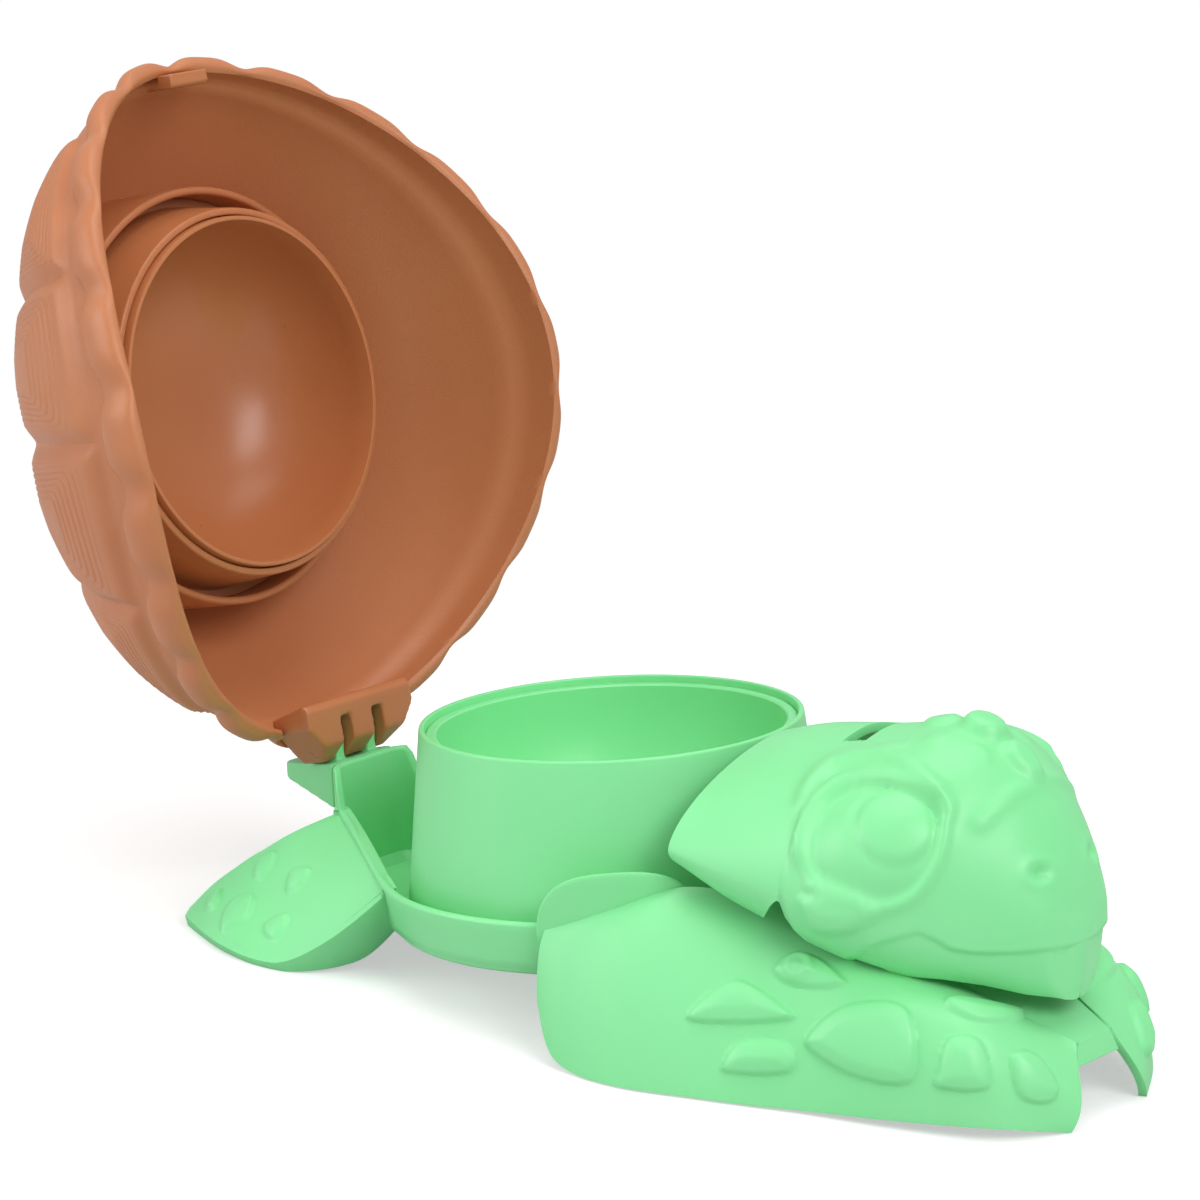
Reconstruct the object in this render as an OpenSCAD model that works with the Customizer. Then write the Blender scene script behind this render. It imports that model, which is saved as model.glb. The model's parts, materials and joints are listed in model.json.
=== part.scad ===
// Turtle tub with a hinged shell cover.
// A cup stands in a shallow pan on four hollow flippers, and a second bowl hangs in the shell,
// so that the two rims nest when the shell is swung shut.
// Every piece is written in the body's own level frame: origin on the cup's axis, +X to the head,
// +Z along the cup. stance() then tips the body nose-up on to its flippers, with the floor at z = 0.

/* [Stance] */
// Nose-up angle of the body on its flippers
pitch = 5.5; // [3:0.5:8]

/* [Pan] */
// Outer radius of the pan at its foot
pan_foot_r = 70.4; // [66:0.2:76]
// Outer radius of the pan at its rim
pan_rim_r = 74.6; // [72:0.2:80]
// Height of the pan's underside in the body frame
pan_z = 37.2; // [34:0.2:40]
// Height of the pan's side rim above its underside
pan_side_h = 17.5; // [12:0.5:24]
// Height of the rear tower above the pan's underside
tower_h = 40.3; // [36:0.1:44]
// Distance from the cup's axis to the back of the tower
tower_x = 105.8; // [100:0.2:112]
// Outer half width of the tower
tower_half_w = 19.8; // [16:0.2:24]
// Outer corner radius of the tower
tower_corner_r = 9; // [5:0.5:12]
// Wall of the pan and of the tower
pan_wall = 2.6; // [1.8:0.1:3.4]
// Thickness of the pan's floor
pan_floor = 2.4; // [1.6:0.1:3.2]

/* [Cup] */
// Outer radius of the cup's rim
cup_rim_r = 60; // [56:0.5:63]
// Outer radius of the cup's foot
cup_foot_r = 67; // [64:0.2:67.4]
// Height of the cup above the pan's floor
cup_h = 61.4; // [54:0.2:68]
// Wall of the cup's skirt
cup_wall = 2.4; // [1.6:0.1:3.2]
// Width of the cup's rim edge
rim_edge = 1.7; // [1.2:0.1:2.4]
// Depth of the step inside the rim
rim_step = 2.7; // [2:0.1:4]
// Wall of the two bowls
bowl_wall = 2; // [1.4:0.1:2.8]
// Thickness of the cup bowl's flange
bowl_flange = 2.2; // [1.6:0.1:3]
// Inside depth of the cup bowl
bowl_depth = 50; // [38:0.5:52]

/* [Head] */
// Length of the head from its collar to the nose
head_len = 106; // [98:1:118]
// Half width of the head at its collar
head_half_w = 57; // [50:0.5:60]
// Height of the crown above the cup's rim
head_rise = 13.2; // [10:0.1:16]
// Wall of the head
head_wall = 2.6; // [1.8:0.1:3.4]
// Length of the latch slot across the head
slot_len = 26.4; // [22:0.2:32]
// Width of the latch slot
slot_w = 7.4; // [6.8:0.2:9]
// Spacing of the two bosses that carry the head
boss_gap = 34; // [28:1:40]
// Radius of a boss
boss_r = 4.4; // [3.6:0.1:5.4]
// Radius of an eye on the cheek
eye_r = 21; // [16:0.5:23]
// Bulge of an eye
eye_bulge = 3.4; // [1:0.1:4.5]
// Height of the largest scale on the crown
crown_scale = 4.8; // [2:0.1:6]

/* [Flippers] */
// Reach of the front flipper tips ahead of the cup's axis
front_reach = 180; // [170:1:195]
// Half spread of the front flippers at the elbow
front_spread = 80; // [78:0.5:90]
// Height of a front root flange above the pan's rim
flange_h = 21; // [14:0.5:26]
// Reach of the rear flipper tips behind the cup's axis
rear_reach = 135; // [128:1:150]
// Half spread of the rear flippers
rear_spread = 72; // [68:0.5:84]
// Wall of the flippers and of the chest apron
flipper_wall = 2.6; // [1.8:0.1:3.4]

/* [Shell] */
// Half length of the shell at its rim
shell_half_l = 109.5; // [107:0.5:118]
// Half width of the shell at its rim
shell_half_w = 98; // [92:0.5:108]
// Height of the shell's crown above the cup's rim
shell_rise = 66.5; // [62:0.5:75]
// How far the rim dips at the sides
rim_dip = 42; // [34:0.5:48]
// Lift of the rim over the head
rim_lift = 7.8; // [7.6:0.1:12]
// Wall of the shell
shell_wall = 3; // [2.2:0.1:4]
// Swell of the scalloped rim bead
bead = 3.2; // [1.6:0.1:4]
// Number of scallops along the rim
scallops = 22; // [18:2:26]
// Swell of the shell's plates
plate_rise = 2.6; // [1:0.1:4]

/* [Shell bowl] */
// Inner radius of the collar under the crown
collar_r = 66; // [65.4:0.1:68]
// Wall of the collar
collar_wall = 2.6; // [1.8:0.1:3.4]
// Height of the collar's edge above the cup's rim
collar_z = 14; // [11:0.5:18]
// Depth of the skirt's seat inside the collar
collar_seat = 11; // [8:0.5:14]
// Height of the dish inside the shell
dish_depth = 46; // [36:0.5:48]
// Gap that stays between the two closed rims
close_gap = 0.5; // [0.4:0.1:1]

/* [Hinge] */
// Opening angle of the shell
lid_open = 99; // [94:0.5:103]
// Distance from the cup's axis to the hinge pin
hinge_x = 112; // [111:0.2:114]
// Height of the hinge pin above the tower's top
hinge_rise = 9; // [8.8:0.1:10]
// Radius of the hinge pin
pin_r = 1.6; // [1.2:0.1:2]
// Half width of the hinge leaf at the shell
leaf_half_w = 25; // [22:0.5:27]
// Half width of the hinge leaf at its free end
leaf_end_w = 14.5; // [13.5:0.5:20]
// Spacing of the two hinge lugs
lug_gap = 15; // [12:0.5:20]
// Thickness of a hinge lug
lug_w = 4; // [3.6:0.2:6]
// Radius of a hinge lug
lug_r = 4; // [3.4:0.1:4.6]
// Length of the tail behind the tower
tail_len = 31.5; // [26:0.5:38]
// Thickness of the tail at its root
tail_t = 15; // [11:0.5:19]

/* [Latch] */
// Width of the latch tab
tab_w = 17; // [13:0.5:20]
// Thickness of the latch tab
tab_t = 4.6; // [3.8:0.1:5]
// How far the tab reaches below the crown of the head
tab_drop = 6; // [4:0.2:9]

/* [Hidden] */
$fn = 72;

green = [0.55, 0.92, 0.64];
brown = [0.72, 0.45, 0.28];
steel = [0.75, 0.76, 0.78];

// Clearances
fit = 0.15;
run_fit = 0.05;
side_play = 0.5;

// Heights
floor_z = pan_z + pan_floor;
pan_rim_z = pan_z + pan_side_h;
tower_z = pan_z + tower_h;
rim_z = floor_z + cup_h;
seat_z = rim_z - rim_step - bowl_flange;
crown_z = rim_z + shell_rise;
lean = lid_open - 90;
lift = front_reach * sin(pitch);
hinge = [-hinge_x, 0, tower_z + hinge_rise];
// Middle of the shell's rim along X, so that its rear edge lies over the hinge
rear_lap = 0.7;
rim_mid_x = shell_half_l - hinge_x - rear_lap;

// Small helpers
function mix(a, b, t) = a + (b - a) * t;
function ease(t) = let(c = min(1, max(0, t))) c * c * (3 - 2 * c);
function unit(v) = v / norm(v);
// Height of the floor under the tipped body
function ground(x) = (front_reach - x) * tan(pitch) - 0.5;

// Smooth curve through a list of stations, for t from 0 to 1
function along(list, t) =
    let(
        n = len(list) - 1,
        k = min(n - 1, floor(t * n)),
        f = t * n - k,
        p0 = list[max(0, k - 1)],
        p1 = list[k],
        p2 = list[k + 1],
        p3 = list[min(n, k + 2)]
    )
    p1 + 0.5 * f * (p2 - p0 + f * (2 * p0 - 5 * p1 + 4 * p2 - p3 + f * (3 * (p1 - p2) + p3 - p0)));

// Normal of a grid of points at row i, column j
function grid_normal(g, i, j) =
    let(
        n = len(g) - 1,
        m = len(g[0]) - 1,
        du = g[min(n, i + 1)][j] - g[max(0, i - 1)][j],
        dv = g[i][min(m, j + 1)] - g[i][max(0, j - 1)]
    )
    unit(cross(du, dv));

// The same grid, moved along its normals
function offset_grid(g, d) =
    [for (i = [0 : len(g) - 1]) [for (j = [0 : len(g[0]) - 1]) g[i][j] + d * grid_normal(g, i, j)]];

function flat(g) = [for (row = g) each row];

// Two triangles for one cell of a strip
function cell(a, b, c, d) = [[a, b, c], [a, c, d]];

// Closed plate between two grids of the same size; the first one faces outwards
module plate(top, under) {
    n = len(top);
    m = len(top[0]);
    k = n * m;
    outer = [for (i = [0 : n - 2], j = [0 : m - 2])
        each cell(i * m + j, i * m + j + 1, (i + 1) * m + j + 1, (i + 1) * m + j)];
    inner = [for (i = [0 : n - 2], j = [0 : m - 2])
        each cell(k + i * m + j, k + (i + 1) * m + j, k + (i + 1) * m + j + 1, k + i * m + j + 1)];
    ends = [for (j = [0 : m - 2])
        each concat(cell(j, k + j, k + j + 1, j + 1),
                    cell((n - 1) * m + j + 1, k + (n - 1) * m + j + 1, k + (n - 1) * m + j, (n - 1) * m + j))];
    sides = [for (i = [0 : n - 2])
        each concat(cell((i + 1) * m, k + (i + 1) * m, k + i * m, i * m),
                    cell(i * m + m - 1, k + i * m + m - 1, k + (i + 1) * m + m - 1, (i + 1) * m + m - 1))];
    polyhedron(concat(flat(top), flat(under)), concat(outer, inner, ends, sides));
}

// Closed solid through a stack of rings, each end closed by a fan to its middle
module ring_loft(rings) {
    n = len(rings);
    m = len(rings[0]);
    sum_of = [for (p = rings[0]) 1];
    first = (sum_of * rings[0]) / m;
    last = (sum_of * rings[n - 1]) / m;
    body = [for (i = [0 : n - 2], j = [0 : m - 1])
        each cell(i * m + j, (i + 1) * m + j, (i + 1) * m + (j + 1) % m, i * m + (j + 1) % m)];
    caps = [for (j = [0 : m - 1])
        each [[n * m, j, (j + 1) % m],
              [n * m + 1, (n - 1) * m + (j + 1) % m, (n - 1) * m + j]]];
    polyhedron(concat(flat(rings), [first, last]), concat(body, caps));
}

// Body frame tipped on to the floor, with the origin under the middle of the open part
module stance() {
    translate([-mid_x, 0, -lift]) rotate([0, -pitch, 0]) children();
}

// Closed shell frame swung open about the hinge
module opened() {
    stance() translate(hinge) rotate([0, -lid_open, 0]) translate(-hinge) children();
}

// Removes whatever lies below the floor
module on_floor() {
    difference() {
        stance() children();
        translate([-400, -300, -100]) cube([800, 600, 100]);
    }
}

// Pan: outline in plan is a circle with a narrow tower drawn out of its rear

// Points of the outline, for a circle of radius r, with the tower's walls moved in by inset
function outline(r, inset) =
    let(
        rc = tower_corner_r - inset,
        c = [-(tower_x - tower_corner_r), tower_half_w - tower_corner_r],
        turn = atan2(c[1], c[0]) - acos((r - rc) / norm(c))
    )
    concat([for (k = [0 : 59]) let(a = mix(-turn, turn, k / 59)) r * [cos(a), sin(a)]],
           [for (k = [1 : 11]) mix([0, 0], c, k / 12) + mix(r, rc, k / 12) * [cos(turn), sin(turn)]],
           [for (k = [0 : 7]) let(a = mix(turn, 180, k / 7)) c + rc * [cos(a), sin(a)]],
           [for (k = [0 : 7]) let(a = mix(180, 360 - turn, k / 7)) [c[0], -c[1]] + rc * [cos(a), sin(a)]],
           [for (k = [11 : -1 : 1])
               mix([0, 0], [c[0], -c[1]], k / 12) + mix(r, rc, k / 12) * [cos(turn), -sin(turn)]]);

// Height of the pan's rim: a slow rise beside the rear flippers, then the tower
root_rise = 9.5;
tower_shoulder = 9;
function rim_at(x) =
    pan_rim_z + root_rise * ease((-x - 44) / (tower_x - 52))
    + (tower_z - pan_rim_z - root_rise) * ease((tower_shoulder - tower_x - x) / (tower_shoulder - 4));
function lift_to(points, z) = [for (p = points) [p[0], p[1], z]];
function lift_rim(points) = [for (p = points) [p[0], p[1], rim_at(p[0])]];

// Everything inside the pan's outer face, grown by a clearance
module pan_block(grow) {
    ring_loft([lift_to(outline(pan_foot_r + grow, -grow), pan_z - grow),
               lift_rim(outline(pan_rim_r + grow, -grow))]);
}

// The same up to the tower's height all round, for pieces that end at the wall
module wall_block(grow) {
    ring_loft([lift_to(outline(pan_foot_r + grow, -grow), pan_z - grow),
               lift_to(outline(pan_rim_r + grow, -grow), pan_rim_z),
               lift_to(outline(pan_rim_r + grow, -grow), tower_z)]);
}

module pan() {
    color(green) stance()
    ring_loft([lift_to(outline(pan_foot_r, 0), pan_z),
               lift_rim(outline(pan_rim_r, 0)),
               lift_rim(outline(pan_rim_r - pan_wall, pan_wall)),
               lift_to(outline(pan_foot_r - pan_wall, pan_wall), floor_z)]);
}

// Cup: a skirt wider at its foot, with a bowl dropped into a step under its rim

function skirt_r(h) = mix(cup_foot_r, cup_rim_r, h / cup_h);
recess_r = cup_rim_r - rim_edge;
seat_r = recess_r - 1.5;
seat_h = seat_z - floor_z;
edge_round = 0.6;

module cup_skirt() {
    shoulder = 1.4;
    run_out = seat_h - 5;
    color(green) stance() translate([0, 0, floor_z])
    rotate_extrude() polygon([
        [cup_foot_r - cup_wall, 0],
        [cup_foot_r, 0],
        [cup_rim_r, cup_h - edge_round],
        [cup_rim_r - edge_round, cup_h],
        [recess_r, cup_h],
        [recess_r, seat_h],
        [seat_r, seat_h],
        [seat_r, seat_h - shoulder],
        [skirt_r(run_out) - cup_wall, run_out]]);
}

// Half section of a round bowl: mouth radius r, depth d, fullness n, from the mouth to the middle
bowl_full = 2.6;
function bowl_curve(r, d, n, steps) =
    [for (k = [0 : steps]) let(a = 90 * k / steps) [r * pow(cos(a), 2 / n), d * pow(sin(a), 2 / n)]];

bowl_r = seat_r - fit - bowl_wall;

module cup_bowl() {
    steps = 18;
    mouth_h = seat_h + bowl_flange;
    inside = bowl_curve(bowl_r, bowl_depth, bowl_full, steps);
    outside = bowl_curve(bowl_r + bowl_wall, bowl_depth + bowl_wall, bowl_full, steps);
    color(green) stance() translate([0, 0, floor_z])
    rotate_extrude() polygon(concat(
        [for (p = inside) [p[0], mouth_h - p[1]]],
        [for (k = [steps : -1 : 1]) [outside[k][0], mouth_h - outside[k][1]]],
        [[seat_r - fit, seat_h], [recess_r - fit, seat_h], [recess_r - fit, mouth_h]]));
}

// Head: arched sections across X, open underneath and behind, closing at the nose

head_x = cup_rim_r + 6;
head_top = rim_z + head_rise;
chin_z = rim_z - 65;
// Stations from the collar to the nose: share of the length, drop of the crown,
// share of the half width, height of the widest level, depth below it, end angle of the arch
head_stations = [
    [0.00, 11.0, 1.00, 0.55, 14, 108],
    [0.13, 7.6, 0.99, 0.50, 22, 120],
    [0.26, 6.0, 0.97, 0.46, 26, 120],
    [0.39, 4.8, 0.945, 0.41, 28, 122],
    [0.52, 2.0, 0.90, 0.37, 29, 126],
    [0.65, 0.6, 0.80, 0.33, 29, 127],
    [0.77, 4.6, 0.66, 0.30, 27, 132],
    [0.87, 15.0, 0.50, 0.285, 26, 147],
    [0.94, 29.0, 0.345, 0.28, 24, 162],
    [0.985, 44.0, 0.20, 0.28, 19, 170],
    [1.00, 55.0, 0.08, 0.28, 11, 170]];

// Point of the head at share t of its length and a share from -1 to 1 of the arch across it,
// moved in by inset
function head_point(t, share, inset) =
    let(
        q = along(head_stations, t),
        x = mix(head_x - (inset > 0 ? 1 : 0), head_x + head_len - inset, q[0]),
        half = max(0.8, head_half_w * q[2] - inset),
        mid = mix(chin_z, head_top, q[3]),
        up = max(1, head_top - q[1] - inset - mid),
        low = max(0.8, q[4] - inset),
        peak = mix(1.28, 1.0, ease(t * 1.6)),
        a = share * q[5]
    )
    [x, -half * sign(sin(a)) * pow(abs(sin(a)), peak),
     mid + (cos(a) > 0 ? up * pow(cos(a), peak) : low * cos(a))];

// Outward direction on the head
function head_out(t, share) =
    let(
        step = 0.01,
        ahead = head_point(min(1, t + step), share, 0) - head_point(max(0, t - step), share, 0),
        across = head_point(t, share + step, 0) - head_point(t, share - step, 0)
    )
    unit(cross(across, ahead));

// Face: a bulging eye on each cheek, and three scales along the crown
eye_at = [head_x + 0.61 * head_len, 0.74 * head_half_w, rim_z - 16];
// Share of the head's length, radius, and share of the largest height of each scale
crown_scales = [[0.57, 7.5, 0.42], [0.71, 8.7, 1], [0.835, 6.5, 0.75]];

function face_relief(p) =
    let(
        e = norm([p[0], abs(p[1]), p[2]] - eye_at) / eye_r,
        ball = eye_bulge * pow(max(0, 1 - e * e), 0.7),
        scales = [for (s = crown_scales)
            let(far = norm([p[0] - head_x - s[0] * head_len, p[1]]) / s[1])
            s[2] * crown_scale * ease((1.15 - far) / 0.6)]
    )
    p[2] > rim_z - 20 ? ball + max(scales) : ball;

function head_skin(t, share, inset) =
    let(
        p = head_point(t, share, inset),
        relief = inset > 0 ? 0 : face_relief(p)
    )
    relief > 0 ? p + relief * head_out(t, share) : p;

// One arch across the head, with its feet let down by drop
function head_ring(t, inset, drop, cols) =
    let(
        arch = [for (j = [0 : cols]) head_skin(t, 2 * j / cols - 1, inset)],
        sink = [0, 0, 0.4 + drop * (1 - ease((t - 0.62) * 5))]
    )
    drop > 0 ? concat([arch[0] - sink], arch, [arch[cols] - sink]) : arch;

module head_solid(inset, drop, rows, cols) {
    ring_loft([for (i = [0 : rows]) head_ring(i / rows, inset, drop, cols)]);
}

tab_out = rim_mid_x + shell_half_l - shell_wall + 2;
slot_x = tab_out - tab_t / 2;
boss_x = head_x + 0.53 * head_len;
pad_z = pan_z + 20;
pilot_r = 1.5;

module at_bosses() {
    for (side = [-1, 1]) translate([boss_x, side * boss_gap / 2, 0]) children();
}

module head() {
    boss_h = head_top - pad_z;
    open_drop = 20;
    color(green) stance()
    difference() {
        union() {
            difference() {
                head_solid(0, 0, 32, 40);
                head_solid(head_wall, open_drop, 20, 28);
            }
            intersection() {
                at_bosses() translate([0, 0, pad_z]) cylinder(r = boss_r, h = boss_h);
                head_solid(head_wall / 2, open_drop, 20, 28);
            }
        }
        at_bosses() translate([0, 0, pad_z - 1]) cylinder(r = pilot_r + run_fit, h = 20);
        translate([slot_x - slot_w / 2, -slot_len / 2, head_top - 25]) cube([slot_w, slot_len, 40]);
    }
}

screw_shank = 16;
screw_head_r = 3.2;
screw_head_h = 2.2;
pad_h = 11;

module head_screws() {
    color(steel) stance() at_bosses() translate([0, 0, pad_z - pad_h]) {
        translate([0, 0, -screw_head_h]) cylinder(r = screw_head_r, h = screw_head_h);
        cylinder(r = pilot_r, h = pad_h + screw_shank);
    }
}

// Flippers: thin sheets, hollow underneath, that stand on the floor along their lower edges

sheet_rows = 18;
sheet_cols = 9;

// Point on the outside of the pan's wall, at a plan angle and a height
function wall_r(z) = mix(pan_foot_r, pan_rim_r, (z - pan_z) / pan_side_h);
function on_wall(a, z, out) = [(wall_r(z) + out) * cos(a), (wall_r(z) + out) * sin(a), z];

// Upper line of a front flipper: along its flange, then forward under the head to the chest
front_inner = [
    on_wall(-68, pan_rim_z - 1, 1.4),
    on_wall(-54, pan_rim_z + 5, 1.4),
    on_wall(-39, pan_rim_z + 10, 1.4),
    [82, -37, pan_rim_z + 6],
    [106, -29, pan_rim_z - 2],
    [131, -22, pan_rim_z - 13],
    [front_reach - 25, -15, pan_rim_z - 24],
    [front_reach - 5, -9, pan_rim_z - 33]];
// Lower line, from the back edge round the elbow to the tip
front_outer = [
    [28, 4 - front_spread, pan_z - 4],
    [37, -front_spread, ground(37) + 3],
    [60, 1 - front_spread, ground(60)],
    [85, 11 - front_spread, ground(85) + 2],
    [113, 22 - front_spread, ground(113) + 5],
    [142, 30 - front_spread, ground(142) + 6],
    [front_reach - 12, 40 - front_spread, ground(front_reach - 12) + 5.5],
    [front_reach, 61 - front_spread, ground(front_reach)]];
front_bulge = 0.55;
// Extra swelling of the blade towards its tip
tip_swell = [2, -8, 16];

function front_point(u, v) =
    let(
        a = along(front_inner, u),
        b = along(front_outer, u),
        c = mix(mix(a, b, 0.5), [b[0], b[1], a[2]], front_bulge) + ease((u - 0.45) / 0.35) * tip_swell
    )
    mix(mix(a, c, v), mix(c, b, v), v);

function front_grid() =
    [for (j = [0 : sheet_cols]) [for (i = [0 : sheet_rows]) front_point(i / sheet_rows, j / sheet_cols)]];

// Rounded flange that stands up along the pan's wall at a front flipper's root
flange_from = -70;
flange_to = -36;
flange_t = 2.4;

function flange_point(u, v, out) =
    let(
        a = mix(flange_from, flange_to, u),
        foot = mix(pan_z + 6, pan_z + 12, u),
        arch = sqrt(max(0.02, 1 - pow(abs(2 * u - 1), 2.6))),
        top = mix(pan_rim_z - 2, pan_rim_z + 8, u) + (flange_h - 3) * arch * (1 - 0.45 * u),
        z = mix(foot, top, v)
    )
    on_wall(a, z, out);

function flange_grid(out) =
    [for (j = [0 : 5]) [for (i = [0 : 14]) flange_point(i / 14, j / 5, out)]];

module front_sheet() {
    g = front_grid();
    plate(g, offset_grid(g, -flipper_wall));
}

module front_flipper() {
    difference() {
        union() {
            front_sheet();
            plate(flange_grid(fit), flange_grid(fit + flange_t));
        }
        pan_block(fit);
    }
}

module front_flipper_right() {
    color(green) on_floor() front_flipper();
}

module front_flipper_left() {
    color(green) on_floor() mirror([0, 1, 0]) front_flipper();
}

// Four rails of a rear flipper, from its root on the pan to its tip:
// front foot, front crest, rear crest, rear foot
rear_front_foot = [
    [-50, -46, pan_z + 3],
    [-66, -55, ground(-66) + 1],
    [-82, 3 - rear_spread, ground(-82)],
    [-106, 2 - rear_spread, ground(-106)],
    [1 - rear_reach, 16 - rear_spread, ground(1 - rear_reach)]];
rear_front_crest = [
    [-46, -56, pan_rim_z - 2],
    [-64, -66, pan_rim_z - 16],
    [-84, 0.5 - rear_spread, ground(-84) + 4],
    [-108, 2 - rear_spread, ground(-108) + 3.4],
    [1 - rear_reach, 15 - rear_spread, ground(1 - rear_reach) + 5]];
rear_back_crest = [
    [-97, -16, tower_z - 13],
    [-109, -29, tower_z - 17],
    [-119, -36, tower_z - 23],
    [6 - rear_reach, -46, tower_z - 32],
    [-rear_reach, 17.5 - rear_spread, tower_z - 41]];
rear_back_foot = [
    [-99, -14, pan_z + 10],
    [-112, -26, ground(-112) + 5],
    [-122, -33, ground(-122) + 1],
    [4 - rear_reach, -44, ground(4 - rear_reach)],
    [-rear_reach, 18 - rear_spread, ground(-rear_reach)]];
rear_bulge = 4;

rear_rows = 16;
rear_cols = 14;

// One section across a rear flipper, from the front foot over the top to the rear foot
function rear_section(u) =
    let(
        b = along(rear_front_crest, u),
        d = along(rear_back_crest, u),
        puff = [0, 0, rear_bulge * (1 - u * u)],
        hoop = [along(rear_front_foot, u), b, mix(b, d, 0.33) + puff, mix(b, d, 0.67) + puff, d,
                along(rear_back_foot, u)]
    )
    [for (k = [0 : rear_cols]) along(hoop, k / rear_cols)];

module rear_flipper() {
    sheet_to = 0.92;
    tip_from = 0.84;
    tip_rows = 4;
    g = [for (k = [0 : rear_cols]) [for (i = [0 : rear_rows]) rear_section(sheet_to * i / rear_rows)[k]]];
    difference() {
        union() {
            plate(g, offset_grid(g, -flipper_wall));
            ring_loft([for (i = [0 : tip_rows]) rear_section(mix(tip_from, 1, i / tip_rows))]);
        }
        wall_block(fit);
    }
}

module rear_flipper_right() {
    color(green) on_floor() rear_flipper();
}

module rear_flipper_left() {
    color(green) on_floor() mirror([0, 1, 0]) rear_flipper();
}

// Chest apron: joins the two front flippers under the head and carries the head's bosses

apron_from = 0.36;
apron_crown = 3;
apron_inset = 1.5;

function apron_point(u, v) =
    let(
        p = along(front_inner, mix(apron_from, 1, u)),
        half = -p[1] - apron_inset
    )
    [p[0], half * v, p[2] + apron_crown * (1 - v * v) - 0.5];

function apron_grid() =
    [for (i = [0 : sheet_rows]) [for (j = [0 : sheet_cols]) apron_point(i / sheet_rows, 2 * j / sheet_cols - 1)]];

module chest_apron() {
    g = apron_grid();
    pad_r = boss_r + 1.6;
    color(green) stance()
    difference() {
        union() {
            plate(g, offset_grid(g, -flipper_wall));
            at_bosses() translate([0, 0, pad_z - pad_h]) cylinder(r = pad_r, h = pad_h);
        }
        at_bosses() translate([0, 0, pad_z - pad_h - 10]) cylinder(r = screw_head_r + 0.4, h = 10);
        at_bosses() translate([0, 0, pad_z - pad_h - 1]) cylinder(r = pilot_r + run_fit, h = pad_h + 2);
        pan_block(fit);
    }
}

// Tail: wedge behind the tower, with the two hinge lugs on its sloping top

tail_tip_r = 6;
tail_edge = 4;

module tail_block() {
    root = tower_half_w - tower_corner_r + 4;
    tip_x = tower_x + tail_len - tail_tip_r;
    back = tower_x + tail_len + 2;
    fall = (tail_len + 2) * tan(lean);
    span = 60;
    intersection() {
        translate([0, 0, pan_z]) linear_extrude(span) polygon(concat(
            [[-tower_x - fit, root], [-tower_x - fit, -root]],
            [for (k = [0 : 12]) let(a = 255 - 150 * k / 12) [-tip_x, 0] + tail_tip_r * [cos(a), sin(a)]]));
        rotate([90, 0, 0]) linear_extrude(2 * span, center = true) polygon([
            [-tower_x, tower_z],
            [-back, tower_z - fall],
            [-back, tower_z - fall - tail_edge],
            [-tower_x, tower_z - tail_t]]);
    }
}

module at_lugs() {
    for (side = [-1, 1]) translate([-hinge_x, side * lug_gap / 2, hinge[2]]) rotate([90, 0, 0]) children();
}

module tail() {
    neck = hinge_rise + 2;
    color(green) stance()
    difference() {
        union() {
            tail_block();
            at_lugs() {
                cylinder(r = lug_r, h = lug_w, center = true);
                translate([-lug_r, -neck, -lug_w / 2]) cube([2 * lug_r, neck, lug_w]);
            }
        }
        at_lugs() cylinder(r = pin_r + run_fit, h = lug_w + 2, center = true);
    }
}

pin_half = leaf_end_w + 3;

module hinge_pin() {
    color(steel) stance() translate(hinge) rotate([90, 0, 0])
    cylinder(r = pin_r, h = 2 * pin_half, center = true);
}

// Shell: a dome over a rim that dips at the sides and lifts over the head

rim_nose = 4.9;
shell_cols = 4 * scallops;
shell_rows = 10;
lift_angle = 26;
dome_full = 1.12;

// Angle brought into -180 to 180
function wrap(a) = a > 180 ? a - 360 : a;
function shell_rim_z(a) =
    rim_z - 3.5 + rim_nose * cos(a) - rim_dip * pow(sin(a), 2) + 2.5 * pow(sin(2 * a), 2)
    + rim_lift * exp(-pow(wrap(a) / lift_angle, 2));
function scallop(a) = 0.45 + 0.55 * abs(sin(a * scallops / 2));

// Point of the dome at turn a and share t from crown to rim, moved in by d
function dome_point(a, t, d) =
    let(
        s = sin(90 * t),
        q = pow(cos(90 * t), dome_full),
        low = shell_rim_z(a)
    )
    [rim_mid_x + (shell_half_l - d) * cos(a) * s,
     (shell_half_w - d) * sin(a) * s,
     low + (crown_z - d - low) * q];

function dome_ring(t, d) =
    [for (j = [0 : shell_cols - 1]) dome_point(360 * j / shell_cols, t, d)];
function bead_ring(t, out) =
    [for (j = [0 : shell_cols - 1]) let(a = 360 * j / shell_cols) dome_point(a, t, -bead * out * scallop(a))];

// Plates over the dome, in plan shares of its half length and half width:
// five along the spine between cross seams, and four down each side out to a margin
cross_seams = [-0.80, -0.48, -0.16, 0.16, 0.48, 0.80];
seam_half = 0.20;
plate_half = 0.34;
plate_margin = 0.94;
side_turns = [153, 120, 90, 61, 28];
valley = 0.075;

plate_tips = [for (k = [0 : 4]) [(cross_seams[k] + cross_seams[k + 1]) / 2, plate_half]];
// End of a side seam, carried past the margin
function seam_end(k) =
    mix(plate_tips[k], plate_margin * [cos(side_turns[k]), sin(side_turns[k])], 1.5);
spine_plates = [for (k = [0 : 4]) [
    [cross_seams[k], -1], [cross_seams[k + 1], -1], [cross_seams[k + 1], seam_half],
    plate_tips[k], [cross_seams[k], seam_half]]];
side_plates = [for (k = [0 : 3]) [
    seam_end(k + 1), seam_end(k), plate_tips[k], [cross_seams[k + 1], seam_half], plate_tips[k + 1]]];

// Distance of p to the left of the line from a to b, and its depth inside a convex outline
function beside(p, a, b) = cross(b - a, p - a) / norm(b - a);
function depth(p, c) = min([for (k = [0 : len(c) - 1]) beside(p, c[k], c[(k + 1) % len(c)])]);

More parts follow.
